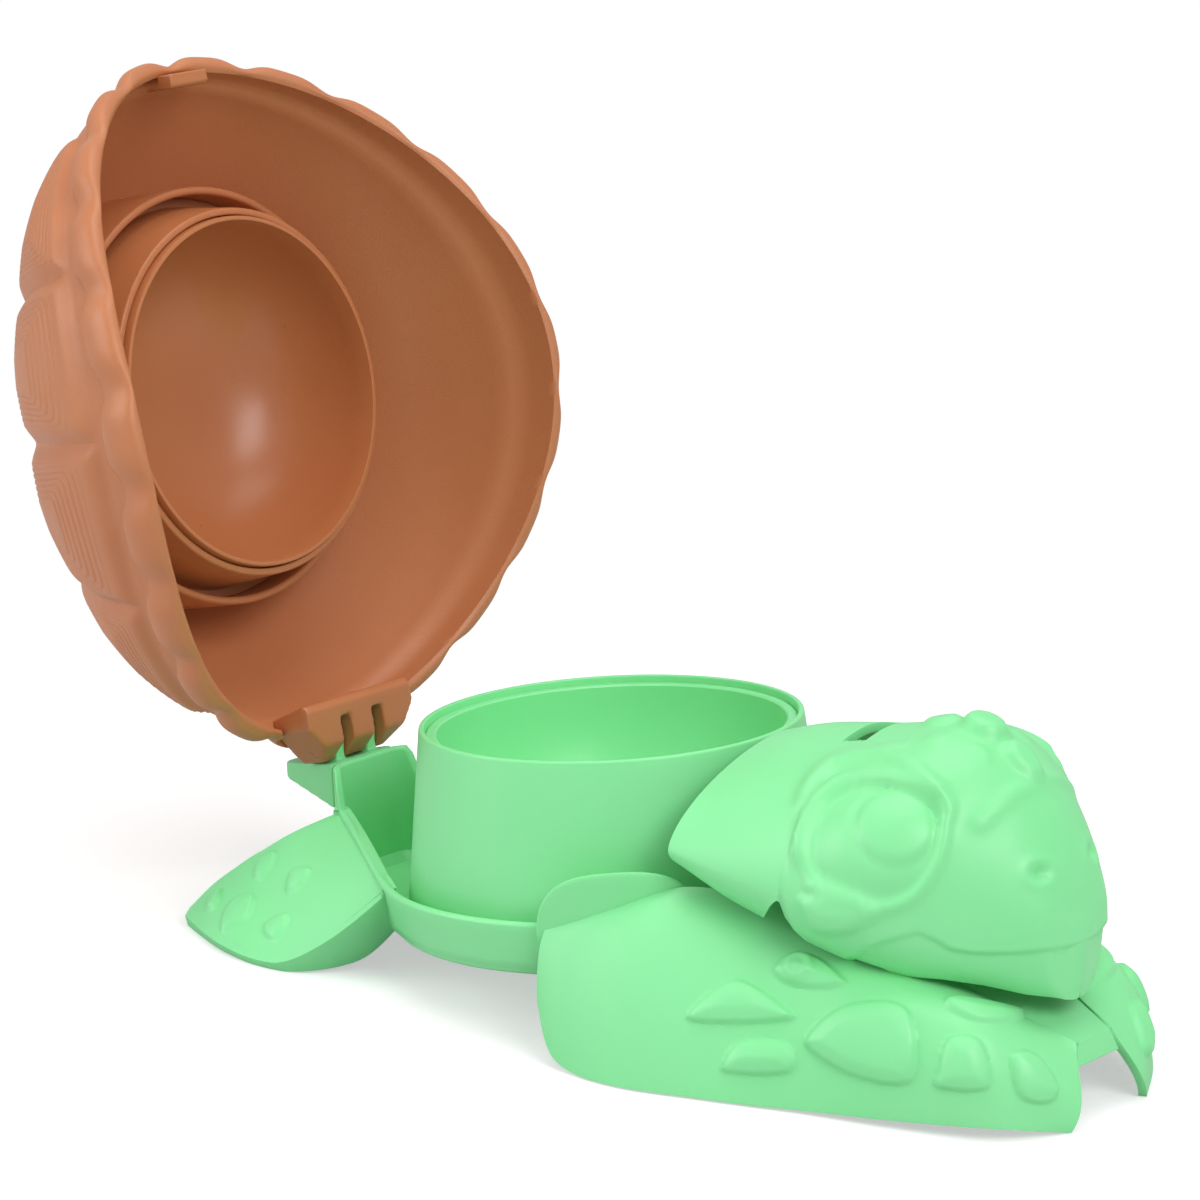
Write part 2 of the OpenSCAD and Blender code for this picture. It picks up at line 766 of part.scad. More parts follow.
// Swell of the plates at a plan point: nothing along the seams, full height a valley's width away
function swell(p) =
    let(
        q = [p[0], abs(p[1])],
        deep = max([for (c = concat(spine_plates, side_plates)) depth(q, c)])
    )
    plate_rise * pow(ease(min(deep, plate_margin - norm(p)) / valley), 0.8);

// Outward direction on the dome
function dome_out(a, t) =
    let(
        around = dome_point(a + 1, t, 0) - dome_point(a - 1, t, 0),
        upward = dome_point(a, t - 0.01, 0) - dome_point(a, t + 0.01, 0)
    )
    unit(cross(around, upward));

// Rings of the plated outside, from under the rim bead to the crown
skin_rows = 28;
skin = [for (k = [skin_rows : -1 : 1]) let(t = 0.87 * k / skin_rows)
    [for (j = [0 : shell_cols - 1]) let(a = 360 * j / shell_cols)
        dome_point(a, t, 0) + swell(sin(90 * t) * [cos(a), sin(a)]) * dome_out(a, t)]];

// Solid inside a band of the dome's inner face, trimmed by a clearance
module dome_inside(d, from, to) {
    foot = [for (p = dome_ring(to / shell_rows, shell_wall + d)) [p[0], p[1], rim_z]];
    ring_loft(concat([foot], [for (k = [to : -1 : from]) dome_ring(k / shell_rows, shell_wall + d)]));
}

// Place along X of a point of the closed shell, once it is swung open and tipped
function opened_x(p) =
    let(
        q = p - hinge,
        x = hinge[0] + q[0] * cos(lid_open) - q[2] * sin(lid_open),
        z = hinge[2] + q[0] * sin(lid_open) + q[2] * cos(lid_open)
    )
    x * cos(pitch) - z * sin(pitch);
shell_back = min([for (ring = skin, p = ring) opened_x(p)]);
mid_x = (shell_back + front_reach * cos(pitch)) / 2;

leaf_top = 8.5;
leaf_rear = hinge_rise + 0.4;
leaf_front = 9;

// Plan of the hinge leaf about the pin: narrow at its free end, flaring to the shell
module leaf_plan(grow) {
    flare = 3;
    ahead = 26;
    side = [[-leaf_rear - grow, leaf_end_w + grow], [flare, leaf_half_w + grow], [ahead, leaf_half_w + grow]];
    polygon(concat(side, [for (k = [2 : -1 : 0]) [side[k][0], -side[k][1]]]));
}

module shell() {
    inner = [for (k = [1 : shell_rows]) dome_ring(k / shell_rows, shell_wall)];
    rim = [bead_ring(1, 0.5), bead_ring(0.98, 0.95), bead_ring(0.945, 1), bead_ring(0.905, 0.75)];
    color(brown) opened()
    difference() {
        ring_loft(concat(inner, rim, skin));
        translate(hinge - [0, 0, 30]) linear_extrude(30 + leaf_top + fit) leaf_plan(fit);
    }
}

// Hinge leaf: block that hangs from the shell's rear rim, notched for the two lugs

leaf_drop = hinge_rise - 0.7;
notch_r = lug_r + 0.7;
neck_swing = leaf_rear * sin(lean) + 0.6;

module hinge_leaf() {
    notch_w = lug_w + 2 * side_play;
    color(brown) opened() translate(hinge)
    difference() {
        intersection() {
            rotate([90, 0, 0]) linear_extrude(2 * leaf_half_w, center = true) polygon([
                [-leaf_rear, leaf_top],
                [-leaf_rear, -1.6],
                [-3.4, -leaf_drop],
                [leaf_front, -leaf_drop],
                [leaf_front + 2, -leaf_drop + 2],
                [leaf_front - 2, leaf_top]]);
            linear_extrude(2 * leaf_half_w, center = true) leaf_plan(0);
        }
        for (side = [-1, 1]) translate([0, side * lug_gap / 2, 0]) {
            rotate([90, 0, 0]) cylinder(r = notch_r, h = notch_w, center = true);
            translate([-leaf_rear - 1, -notch_w / 2, -notch_r]) cube([leaf_rear + 1, notch_w, 2 * notch_r + neck_swing]);
            translate([-leaf_rear - 1, -notch_w / 2, -leaf_drop - 1])
                cube([leaf_rear + 1 + notch_r, notch_w, leaf_drop + 1]);
        }
        translate([0, -pin_half - fit, 0]) rotate([-90, 0, 0])
            cylinder(r = pin_r + run_fit, h = pin_half + leaf_half_w + 2);
    }
}

// Latch tab: hook inside the shell's front rim that drops into the head's slot

module latch_tab() {
    turn = asin(tab_w / 2 / (shell_half_w - shell_wall));
    under = shell_rim_z(turn) - fit;
    root = dome_point(turn, 0.92, shell_wall + 2 * fit);
    low = head_top - 5 - tab_drop;
    color(brown) opened()
    rotate([90, 0, 0]) linear_extrude(tab_w, center = true) polygon([
        [tab_out - tab_t, low + 1],
        [tab_out - tab_t + 1, low],
        [tab_out, low],
        [tab_out, under],
        [root[0], under],
        [root[0], root[2]],
        [tab_out - tab_t, root[2]]]);
}

// Collar under the crown, with the shell's own skirt and dish in it

module bowl_collar() {
    low = rim_z + collar_z;
    color(brown) opened()
    intersection() {
        translate([0, 0, low]) difference() {
            cylinder(r = collar_r + collar_wall, h = shell_rise);
            translate([0, 0, -1]) cylinder(r = collar_r, h = shell_rise + 2);
        }
        dome_inside(fit, 2, 8);
    }
}

function lid_skirt_r(h) = mix(cup_rim_r, cup_foot_r, h / cup_h);
lid_skirt_h = collar_z + collar_seat;
skirt_flange = 2;
lid_z = rim_z + close_gap;

module lid_skirt() {
    color(brown) opened() translate([0, 0, lid_z])
    rotate_extrude() polygon([
        [cup_rim_r - cup_wall, 0],
        [cup_rim_r - edge_round, 0],
        [cup_rim_r, edge_round],
        [lid_skirt_r(lid_skirt_h), lid_skirt_h],
        [collar_r - run_fit, lid_skirt_h],
        [collar_r - run_fit, lid_skirt_h + skirt_flange],
        [lid_skirt_r(lid_skirt_h) - cup_wall, lid_skirt_h + skirt_flange]]);
}

lip_drop = rim_step - 0.5;
lip_r = recess_r - 1.1;

module lid_dish() {
    steps = 18;
    seat = 3;
    inside = bowl_curve(lip_r - bowl_wall, dish_depth + lip_drop, bowl_full, steps);
    outside = bowl_curve(lip_r, dish_depth + lip_drop + bowl_wall, bowl_full, steps);
    color(brown) opened() translate([0, 0, lid_z - lip_drop])
    rotate_extrude() polygon(concat(
        inside,
        [for (k = [steps : -1 : 4]) outside[k]],
        [[lip_r, lip_drop + seat + bowl_wall],
         [cup_rim_r - cup_wall - fit, lip_drop + seat],
         [cup_rim_r - cup_wall - fit, lip_drop + 1],
         [lip_r, lip_drop],
         [lip_r - 0.4, 0]]));
}

pan();
tail();
cup_skirt();
cup_bowl();
front_flipper_left();
front_flipper_right();
rear_flipper_left();
rear_flipper_right();
chest_apron();
head();
head_screws();
hinge_pin();
shell();
hinge_leaf();
latch_tab();
bowl_collar();
lid_skirt();
lid_dish();
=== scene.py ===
# %% [markdown]
# # A turtle tub with a hinged shell cover
# The object is a toy tub of two moulded plastics. A round cup stands in a shallow green pan on four
# hollow flippers, a hooded head looks forward, and a brown shell with a second bowl inside swings
# over the cup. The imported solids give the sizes. This lesson dresses them: most pieces are surfaces
# worked out as arrays, so that their bumps, lips and scales are real geometry.

# %% Load the frame
import json
import math

import bmesh
import bpy
import numpy as np
from mathutils import Matrix


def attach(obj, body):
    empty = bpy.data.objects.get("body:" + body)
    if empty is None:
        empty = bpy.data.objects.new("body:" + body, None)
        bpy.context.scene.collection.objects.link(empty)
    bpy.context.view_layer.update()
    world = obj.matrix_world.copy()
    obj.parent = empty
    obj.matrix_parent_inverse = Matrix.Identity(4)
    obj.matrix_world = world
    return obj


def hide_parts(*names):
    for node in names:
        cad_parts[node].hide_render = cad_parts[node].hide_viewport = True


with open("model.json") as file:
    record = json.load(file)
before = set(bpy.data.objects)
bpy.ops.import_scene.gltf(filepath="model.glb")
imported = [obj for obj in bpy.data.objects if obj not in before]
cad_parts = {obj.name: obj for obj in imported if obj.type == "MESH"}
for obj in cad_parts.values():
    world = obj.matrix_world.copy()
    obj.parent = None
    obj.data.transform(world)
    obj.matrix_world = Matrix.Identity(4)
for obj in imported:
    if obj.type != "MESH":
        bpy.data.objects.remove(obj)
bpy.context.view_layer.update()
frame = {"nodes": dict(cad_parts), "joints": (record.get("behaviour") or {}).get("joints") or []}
scene = bpy.context.scene


def linked(name, data):
    """A new object, linked into the scene."""
    made = bpy.data.objects.new(name, data)
    scene.collection.objects.link(made)
    return made


def posed(place, right, up, back):
    """Matrix that sets a camera or a lamp at a place, by its three axes."""
    return Matrix.Translation(place) @ Matrix(np.stack([right, up, back], 1).tolist()).to_4x4()


print("packed nodes:", sorted(frame["nodes"]))

# %% [markdown]
# ## Two frames
# The tub is easiest to describe on its own level axes: X to the head, Z along the cup, in
# millimetres. On the floor it stands nose-up on its flippers, and the cover is open. Two turns about
# the Y axis bring any point to its place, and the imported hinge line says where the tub's axis is.

# %% From the tub's own axes to the row frame
MM = 0.001
PITCH = math.radians(5.5)
TIP_REACH = 180.0
HINGE = np.array([-112.0, 0.0, 86.5])
OPENING = math.radians(99)
BODY, COVER = "body", "cover"
SIDES = {"right": np.array([1, 1, 1]), "left": np.array([1, -1, 1])}
UP = np.array([0, 0, 1])


def turned(p, angle):
    """Points turned nose-up about Y: x' = x cos - z sin, z' = x sin + z cos."""
    x, y, z = np.moveaxis(np.asarray(p, float), -1, 0)
    c, s = math.cos(angle), math.sin(angle)
    return np.stack([x * c - z * s, y, x * s + z * c], -1)


hinge_at = np.array(frame["joints"][0]["pos_m"]) / MM
AXIS_SHIFT = np.array([hinge_at[0] - turned(HINGE, PITCH)[0], 0.0, -TIP_REACH * math.sin(PITCH)])


def stand(p):
    """Tub frame in mm to row frame in metres: nose-up turn, then moved on to the floor."""
    return MM * (turned(p, PITCH) + AXIS_SHIFT)


def opened(p):
    """Closed cover to open cover: turned about the hinge line, then stood on the floor."""
    return stand(turned(p - HINGE, OPENING) + HINGE)


PLACE = {BODY: stand, COVER: opened}
print("tub axis in the row frame, mm:", (stand([0, 0, 0]) / MM).round(2))

# %% [markdown]
# ## Camera
# The picture was taken with a long lens from the front right, a little above the tub. The same three
# view axes also serve as a drawing board: features of the face and the flippers are laid out in the
# plane of that view, where their outlines are easiest to judge.

# %% Place the camera
SIGHT_FAR = 1548.0
SIGHT_AT = np.array([-1.95, 0.0, 137.8])
LENS, SENSOR = 150.0, 36.0
azimuth, elevation, roll = np.radians([39.6, 11.5, 3.1])
level = np.array([math.cos(azimuth), math.sin(azimuth), 0.0])
sight_back = math.cos(elevation) * np.cross(level, UP) + math.sin(elevation) * UP
upright = np.cross(sight_back, level)
sight_right = math.cos(roll) * level - math.sin(roll) * upright
sight_up = math.sin(roll) * level + math.cos(roll) * upright
sight_eye = SIGHT_AT + SIGHT_FAR * sight_back


def sight(p):
    """Place of a point in the three-quarter view, in mm across and up, shrunk with distance.
    The left half of the tub is read on its mirror image, so features come in pairs."""
    v = np.array(p, float)
    v[..., 1] = -np.abs(v[..., 1])
    v = v - sight_eye
    far = -(v @ sight_back)
    return SIGHT_FAR * (v @ sight_right) / far, SIGHT_FAR * (v @ sight_up) / far


camera = linked("camera", bpy.data.cameras.new("camera"))
camera.data.lens = LENS
camera.data.sensor_width = SENSOR
camera.data.clip_end = 30
axes = (turned(axis, PITCH) for axis in (sight_right, sight_up, sight_back))
camera.matrix_world = posed(stand(sight_eye), *axes)
scene.camera = camera
scene.view_settings.view_transform = "Standard"
print("camera distance in m:", round(SIGHT_FAR * MM, 3))

# %% [markdown]
# ## Moulded plastic
# Both colours are soft, satin mouldings. The real surface isn't one flat colour: the pigment drifts
# a little over a hand's width, the gloss changes with the flow of the melt, and the tool leaves a fine
# grain that breaks up the highlights. Three noises at those three scales give the finish. The shell is
# grained more strongly than the pieces inside it, so it has a finish of its own. The other brown pieces
# get a slightly darker copy of the shell's brown, and that difference is painted shade.

# %% A finish for moulded plastic
def linear(*srgb):
    """Display colour from 0 to 255 to linear light, with alpha."""
    c = np.array(srgb) / 255
    low = c / 12.92
    return (*np.where(c < 0.04045, low, ((c + 0.055) / 1.055) ** 2.4).tolist(), 1.0)


def wired(tree, made, inputs):
    """Fills a node's inputs, by name or number: a socket is linked, a plain value is written."""
    for key, value in inputs.items():
        if isinstance(value, bpy.types.NodeSocket):
            tree.links.new(value, made.inputs[key])
        else:
            made.inputs[key].default_value = value
    return made


def node(tree, kind, inputs, **properties):
    """A new shader node with its properties set and its inputs filled."""
    made = tree.nodes.new("ShaderNode" + kind)
    for key, value in properties.items():
        setattr(made, key, value)
    return wired(tree, made, inputs)


def own_place(tree):
    """The piece's own coordinates, in metres."""
    return node(tree, "TexCoord", {}).outputs["Object"]


def noise(tree, cells_per_metre, detail):
    """Noise on the piece's own coordinates."""
    inputs = {"Vector": own_place(tree), "Scale": cells_per_metre, "Detail": detail}
    return node(tree, "TexNoise", inputs).outputs["Fac"]


def ranged(tree, value, low, high):
    """A noise value, which lies mostly between 0.3 and 0.7, stretched to run from low to high."""
    inputs = {"Value": value, "From Min": 0.3, "From Max": 0.7, "To Min": low, "To Max": high}
    return node(tree, "MapRange", inputs).outputs["Result"]


def new_material(name):
    """A material with its node tree and its main shader."""
    material = bpy.data.materials.new(name)
    material.use_nodes = True
    return material, material.node_tree, material.node_tree.nodes["Principled BSDF"]


DRIFT_CELLS, FLOW_CELLS, GRAIN_CELLS, BRUSH_CELLS = 14.0, 60.0, 1900.0, 900.0
GRAIN_DEPTH = 0.0002
PLASTIC_IOR = 1.49


def moulded(name, light, deep, gloss, grain, glow):
    """Satin plastic: pigment drift between two colours, flow in the gloss, fine tool grain."""
    material, tree, shader = new_material(name)
    drift = ranged(tree, noise(tree, DRIFT_CELLS, 2.0), 0.0, 1.0)
    tint = node(tree, "Mix", {"Factor": drift, "A": deep, "B": light}, data_type="RGBA")
    grained = {"Strength": grain, "Distance": GRAIN_DEPTH, "Height": noise(tree, GRAIN_CELLS, 2.0)}
    wired(tree, shader, {
        "Base Color": tint.outputs["Result"],
        "Roughness": ranged(tree, noise(tree, FLOW_CELLS, 3.0), gloss - 0.04, gloss + 0.05),
        "Normal": node(tree, "Bump", grained).outputs["Normal"],
        "IOR": PLASTIC_IOR,
        "Subsurface Weight": glow,
        "Subsurface Radius": (0.004, 0.006, 0.004),
        "Subsurface Scale": 0.5,
    })
    return material


def bright(name, colour):
    """Bare metal whose gloss varies a little."""
    material, tree, shader = new_material(name)
    gloss = ranged(tree, noise(tree, BRUSH_CELLS, 2.0), 0.22, 0.36)
    wired(tree, shader, {"Base Color": colour, "Metallic": 1.0, "Roughness": gloss})
    return material


green = moulded("green_plastic", linear(137, 229, 159), linear(130, 225, 152), 0.40, 0.10, 0.12)
# Painted shade: the same plastic as the shell, made a shade darker than its stippled brown below.
brown = moulded("brown_plastic", linear(190, 119, 75), linear(183, 112, 69), 0.31, 0.12, 0.05)
stippled = moulded("stippled_brown_plastic", linear(195, 124, 81), linear(188, 117, 75), 0.42, 0.45, 0.05)
steel = bright("bright_steel", linear(214, 215, 219))

# %% [markdown]
# ## From arrays to meshes
# Nearly every piece is a grid of points. A wall can be made in two ways: a closed stack of rings, for
# turned and boxy shapes, or an open sheet that a Solidify modifier thickens inwards and a Bevel modifier
# softens at its free edges, for hoods and flippers. The sign of a stack's volume tells whether its faces
# point outwards; a sheet's faces are turned by its normals.

# %% Grids, rings and sheets
def cells(rows, cols, around=False):
    """Corner numbers of the four-sided cells of a grid; around joins the last column to the first."""
    r = np.arange(rows - 1)[:, None]
    c = np.arange(cols if around else cols - 1)[None, :]
    n = (c + 1) % cols
    here, on = r * cols, (r + 1) * cols
    return np.stack([here + c, on + c, on + n, here + n], -1).reshape(-1, 4)


def stacked(rings):
    """Closed solid through a stack of rings, each end closed by a fan to its middle."""
    rows, cols, _ = rings.shape
    points = np.concatenate([rings.reshape(-1, 3), rings[[0, -1]].mean(1)])
    j = np.arange(cols)
    n = (j + 1) % cols
    first = np.stack([np.full(cols, rows * cols), j, n], 1)
    last = np.stack([np.full(cols, rows * cols + 1), (rows - 1) * cols + n, (rows - 1) * cols + j], 1)
    return points, [cells(rows, cols, True), np.concatenate([first, last])]


def looped(rings):
    """Closed ring-shaped solid: the grid is joined both ways."""
    rows, cols, _ = rings.shape
    return rings.reshape(-1, 3), [cells(rows + 1, cols, True) % (rows * cols)]


def volume(points, faces):
    """Six times the signed volume: sum of a . (b x c) over triangles."""
    total = 0.0
    for part in faces:
        fans = [part[:, [0, k, k + 1]] for k in range(1, part.shape[1] - 1)]
        a, b, c = np.moveaxis(points[np.concatenate(fans)], 1, 0)
        total += np.einsum("ij,ij->", a, np.cross(b, c))
    return total


SHARP_DEGREES = 38
SHEET_WALL = 2.6


def enter(name, mesh, finish, body, nodes):
    """Puts a mesh into the scene as a finished piece that rides on its body."""
    mesh.shade_smooth()
    mesh.set_sharp_from_angle(angle=math.radians(SHARP_DEGREES))
    mesh.materials.append(finish)
    piece = linked(name, mesh)
    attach(piece, body)
    if nodes:
        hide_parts(*nodes)
    return piece


def add_piece(name, points, faces, finish, body, *nodes, closed=True):
    """A piece from points and faces; the faces of a closed one are turned outwards."""
    if closed and volume(points, faces) < 0:
        faces = [part[:, ::-1] for part in faces]
    mesh = bpy.data.meshes.new(name)
    mesh.from_pydata(PLACE[body](points).tolist(), [], [f for part in faces for f in part.tolist()])
    print(f"{name}: {len(points)} points, {sum(map(len, faces))} faces")
    return enter(name, mesh, finish, body, nodes)


def bevelled(piece, width, degrees):
    """Rounds the edges that turn by more than some degrees, over a width in mm."""
    soft = piece.modifiers.new("edge", "BEVEL")
    soft.width = width * MM
    soft.segments = 3
    soft.limit_method = "ANGLE"
    soft.angle_limit = math.radians(degrees)


def add_sheet(name, grid, faces, edge, node_name):
    """A green piece from an open sheet, thickened inwards, with rounded free edges."""
    piece = add_piece(name, grid.reshape(-1, 3), [faces], green, BODY, node_name, closed=False)
    thick = piece.modifiers.new("wall", "SOLIDIFY")
    thick.thickness = SHEET_WALL * MM
    thick.offset = -1
    bevelled(piece, edge, 55)


def add_side(name, side, grid, faces, edge):
    """A sheet of the turtle's right side, or its mirror image, whose faces run the other way round."""
    way = SIDES[side]
    add_sheet(f"{name}_{side}_sheet", grid * way, faces[:, :: way[1]], edge, f"{name}_{side}")


def mix(a, b, t):
    """Straight mix of a and b."""
    return a + (b - a) * t


def rays(a):
    """Unit vectors in plan at turns a."""
    return np.stack([np.cos(a), np.sin(a)], -1)


def ease(t):
    """Smooth step from 0 to 1: 3 t^2 - 2 t^3."""
    c = np.clip(t, 0, 1)
    return c * c * (3 - 2 * c)


def along(stations, t):
    """Smooth curve through equally spaced stations (Catmull-Rom), for t from 0 to 1."""
    p = np.asarray(stations, float)
    n = len(p) - 1
    t = np.asarray(t, float)
    k = np.minimum(n - 1, np.floor(t * n)).astype(int)
    f = (t * n - k)[..., None]
    a, b, c, d = p[np.maximum(0, k - 1)], p[k], p[k + 1], p[np.minimum(n, k + 2)]
    return b + 0.5 * f * (c - a + f * (2 * a - 5 * b + 4 * c - d + f * (3 * (b - c) + d - a)))


def flowing(corners, closed=True, steps=6):
    """Outline or line with its corners drawn into one smooth curve."""
    p = np.asarray(corners, float)
    if not closed:
        return along(p, np.linspace(0, 1, steps * len(p)))
    n = len(p)
    wrapped = np.concatenate([p[-2:], p, p[:3]])
    return along(wrapped, (2 + np.arange(steps * n) / steps) / (n + 4))


def unit(v):
    """Vectors brought to length 1."""
    return v / np.maximum(np.linalg.norm(v, axis=-1, keepdims=True), 1e-9)


def outward(grid, away):
    """Unit normals of a grid, from the cross product of its two slopes, and its cells, both turned over
    if on the whole they point against away."""
    n = unit(np.cross(np.gradient(grid, axis=0), np.gradient(grid, axis=1)))
    faces = cells(*grid.shape[:2])
    if (n * away).sum(-1).mean() < 0:
        return -n, faces[:, ::-1]
    return n, faces


def near_line(u, v, line):
    """Distance to an open line in a plane."""
    best = np.full(np.shape(u), 1e9)
    for (ax, ay), (bx, by) in zip(line[:-1], line[1:]):
        ex, ey = bx - ax, by - ay
        t = np.clip(((u - ax) * ex + (v - ay) * ey) / (ex * ex + ey * ey), 0, 1)
        best = np.minimum(best, np.hypot(u - ax - t * ex, v - ay - t * ey))
    return best


def inside(u, v, outline):
    """Distance to an outline's edge in a plane, negative inside (an odd count of crossings)."""
    closed = np.concatenate([outline, outline[:1]])
    odd = np.zeros(np.shape(u), bool)
    for (ax, ay), (bx, by) in zip(closed[:-1], closed[1:]):
        over = (ay > v) != (by > v)
        odd ^= over & (u < ax + (v - ay) * (bx - ax) / (by - ay or 1e-9))
    far = near_line(u, v, closed)
    return np.where(odd, -far, far)


def hump(d, width):
    """Bell of height 1 and the given half width."""
    return np.exp(-((d / width) ** 2))


def plateau(u, v, outline, height, edge, crown, spread=0.0):
    """Raised scale: a step over its outline, widened by spread, and a crowned top."""
    d = inside(u, v, outline) - spread
    return height * ease(-d / edge) + crown * ease(-d / (3.5 * edge))


def scales_rise(points, scales, height, edge, crown):
    """Height that scales, outlined in the picture's view, give to points."""
    u, v = sight(points)
    return sum(plateau(u, v, flowing(scale), height, edge, crown) for scale in scales)


# %% [markdown]
# ## Turned pieces
# The cup, the two bowls and the cover's skirt are all bodies of revolution. Each is a half section with
# its corners rounded by small curves, carried round the axis. A moulding has no knife edges, and it is
# the small radius on a rim that catches the light.

# %% Half sections with rounded corners
FLOOR_Z, RIM_Z = 39.6, 101.0
CUP_FOOT_R, CUP_RIM_R, CUP_WALL = 67.0, 60.0, 2.4
CUP_H = RIM_Z - FLOOR_Z
FIT = 0.15
RECESS_R, SEAT_R, SEAT_Z = 58.3, 56.8, 96.1
BOWL_R, BOWL_WALL, BOWL_DEPTH, BOWL_TOP, BOWL_POWER = 54.65, 2.0, 50.0, 98.3, 2.6
POLE_R = 0.05
TURN_STEPS = 192
around = np.linspace(0, 2 * math.pi, TURN_STEPS, endpoint=False)


def rounded(corners, radius, steps=5):
    """Corners of a closed half section, each replaced by a short quadratic curve."""
    p = np.asarray(corners, float)
    r = np.broadcast_to(np.asarray(radius, float), len(p))[:, None]
    back, on = np.roll(p, 1, 0) - p, np.roll(p, -1, 0) - p
    lb, lo = (np.linalg.norm(e, axis=1, keepdims=True) for e in (back, on))
    a = p + back / lb * np.minimum(r, 0.45 * lb)
    b = p + on / lo * np.minimum(r, 0.45 * lo)
    t = np.linspace(0, 1, steps)[None, :, None]
    return ((1 - t) ** 2 * a[:, None] + 2 * t * (1 - t) * p[:, None] + t**2 * b[:, None]).reshape(-1, 2)


def spun(section):
    """Half section of radius and height carried round the cup's axis."""
    r, z = section[:, 0, None], section[:, 1, None]
    return np.stack([r * np.cos(around), r * np.sin(around), z + 0 * around], -1)


def bowl_curve(radius, depth, steps=40):
    """Superellipse (r/R)^2.6 + (d/D)^2.6 = 1 from the mouth to a tiny ring at the middle of a bowl."""
    a = np.linspace(0, math.pi / 2, steps)
    k = 2 / BOWL_POWER
    return np.stack([np.maximum(radius * np.cos(a) ** k, POLE_R), depth * np.sin(a) ** k], 1)


run_out = SEAT_Z - 5
skirt_section = rounded(
    [
        (CUP_FOOT_R - CUP_WALL, FLOOR_Z), (CUP_FOOT_R, FLOOR_Z), (CUP_RIM_R, RIM_Z), (RECESS_R, RIM_Z),
        (RECESS_R, SEAT_Z), (SEAT_R, SEAT_Z), (SEAT_R, SEAT_Z - 1.4),
        (mix(CUP_FOOT_R, CUP_RIM_R, (run_out - FLOOR_Z) / CUP_H) - CUP_WALL, run_out),
    ],
    [0.4, 0.5, 0.75, 0.6, 0.3, 0.3, 0.5, 2],
)
add_piece("cup_skirt_turned", *looped(spun(skirt_section)), green, BODY, "cup_skirt")

bowl_in = bowl_curve(BOWL_R, BOWL_DEPTH)[::-1]
bowl_out = bowl_curve(BOWL_R + BOWL_WALL, BOWL_DEPTH + BOWL_WALL)[3:]
bowl_lip = [
    (BOWL_R + 0.5, -0.45), (RECESS_R - 0.9, -0.45), (RECESS_R - FIT, 0.2),
    (RECESS_R - FIT, BOWL_TOP - SEAT_Z), (SEAT_R - FIT, BOWL_TOP - SEAT_Z),
]
bowl_section = np.concatenate([bowl_in, bowl_lip, bowl_out]) * [1, -1] + [0, BOWL_TOP]
add_piece("cup_bowl_turned", *stacked(spun(bowl_section)), green, BODY, "cup_bowl")

# %% [markdown]
# ## Pan
# The pan's plan is a circle with a narrow tower drawn out of its rear. The same outline, drawn in and
# raised ring by ring, makes its foot, its outer wall, a rounded lip, the inner wall and a filleted
# floor. The lip's height follows the rim: low round the cup, a slow rise beside the rear flippers, and
# the tower at the back.

# %% Rings of the pan
PAN_Z, PAN_RIM_Z, TOWER_Z = 37.2, 54.7, 77.5
PAN_FOOT_R, PAN_RIM_R, PAN_WALL = 70.4, 74.6, 2.6
PAN_H = PAN_RIM_Z - PAN_Z
RISE, RISE_FROM, RISE_RUN, TOWER_RUN = 9.5, 44.0, 53.8, 5.0
FOOT_ROUND, LIP_ROUND, FILLET = 2.0, PAN_WALL / 2, 3.0
MIDDLE_R = 40.0
TOWER_X, TOWER_HALF, TOWER_CORNER = 105.8, 19.8, 9.0


def pan_outline(radius, inset):
    """Circle of the given radius, joined by straight runs to the tower's two rounded corners."""
    rc = TOWER_CORNER - inset
    c = np.array([TOWER_CORNER - TOWER_X, TOWER_HALF - TOWER_CORNER])
    turn = math.atan2(c[1], c[0]) - math.acos((radius - rc) / np.hypot(*c))
    front = np.linspace(-turn, turn, 180)
    bend = np.linspace(turn, math.pi, 14)
    run = np.linspace(0, 1, 42)[1:-1, None]
    near = run * c + mix(radius, rc, run) * rays(turn)
    half = np.concatenate([near, c + rc * rays(bend)])
    return np.concatenate([radius * rays(front), half, half[::-1] * [1, -1]])


def rim_height(x):
    """Height of the pan's rim: a slow rise towards the rear, then the tower."""
    tower = TOWER_Z - PAN_RIM_Z - RISE
    rise = RISE * ease((-x - RISE_FROM) / RISE_RUN)
    return PAN_RIM_Z + rise + tower * ease((TOWER_CORNER - TOWER_X - x) / TOWER_RUN)


def pan_ring(inset, share, drop, radius=None):
    """Outline drawn in by inset, at a share of the way from underside to rim, lowered by drop."""
    wide = mix(PAN_FOOT_R, PAN_RIM_R, share) - inset
    xy = pan_outline(radius or wide, inset)
    z = mix(PAN_Z, rim_height(xy[:, 0]), share) - drop
    return np.concatenate([xy, z[:, None]], 1)


quarter = np.linspace(0, math.pi / 2, 5)
lip_turn = np.linspace(0.15, math.pi - 0.15, 7)
pan_rings = np.stack([
    pan_ring(5.0, 0, 0.0, MIDDLE_R),
    *[pan_ring(FOOT_ROUND * (1 - math.sin(a)), 0, FOOT_ROUND * (math.cos(a) - 1)) for a in quarter],
    *[pan_ring(0, up, LIP_ROUND * up) for up in np.linspace(0.16, 1, 7)],
    *[pan_ring(LIP_ROUND * (1 - math.cos(a)), 1, LIP_ROUND * (1 - math.sin(a))) for a in lip_turn],
    *[pan_ring(PAN_WALL, up, LIP_ROUND * up) for up in np.linspace(1, 0.4, 6)],
    *[pan_ring(PAN_WALL + FILLET * math.sin(a), 0, PAN_Z - FLOOR_Z - FILLET * (1 - math.sin(a)))
      for a in quarter],
    pan_ring(8.0, 0, PAN_Z - FLOOR_Z, MIDDLE_R),
])
add_piece("pan_moulded", *stacked(pan_rings), green, BODY, "pan")

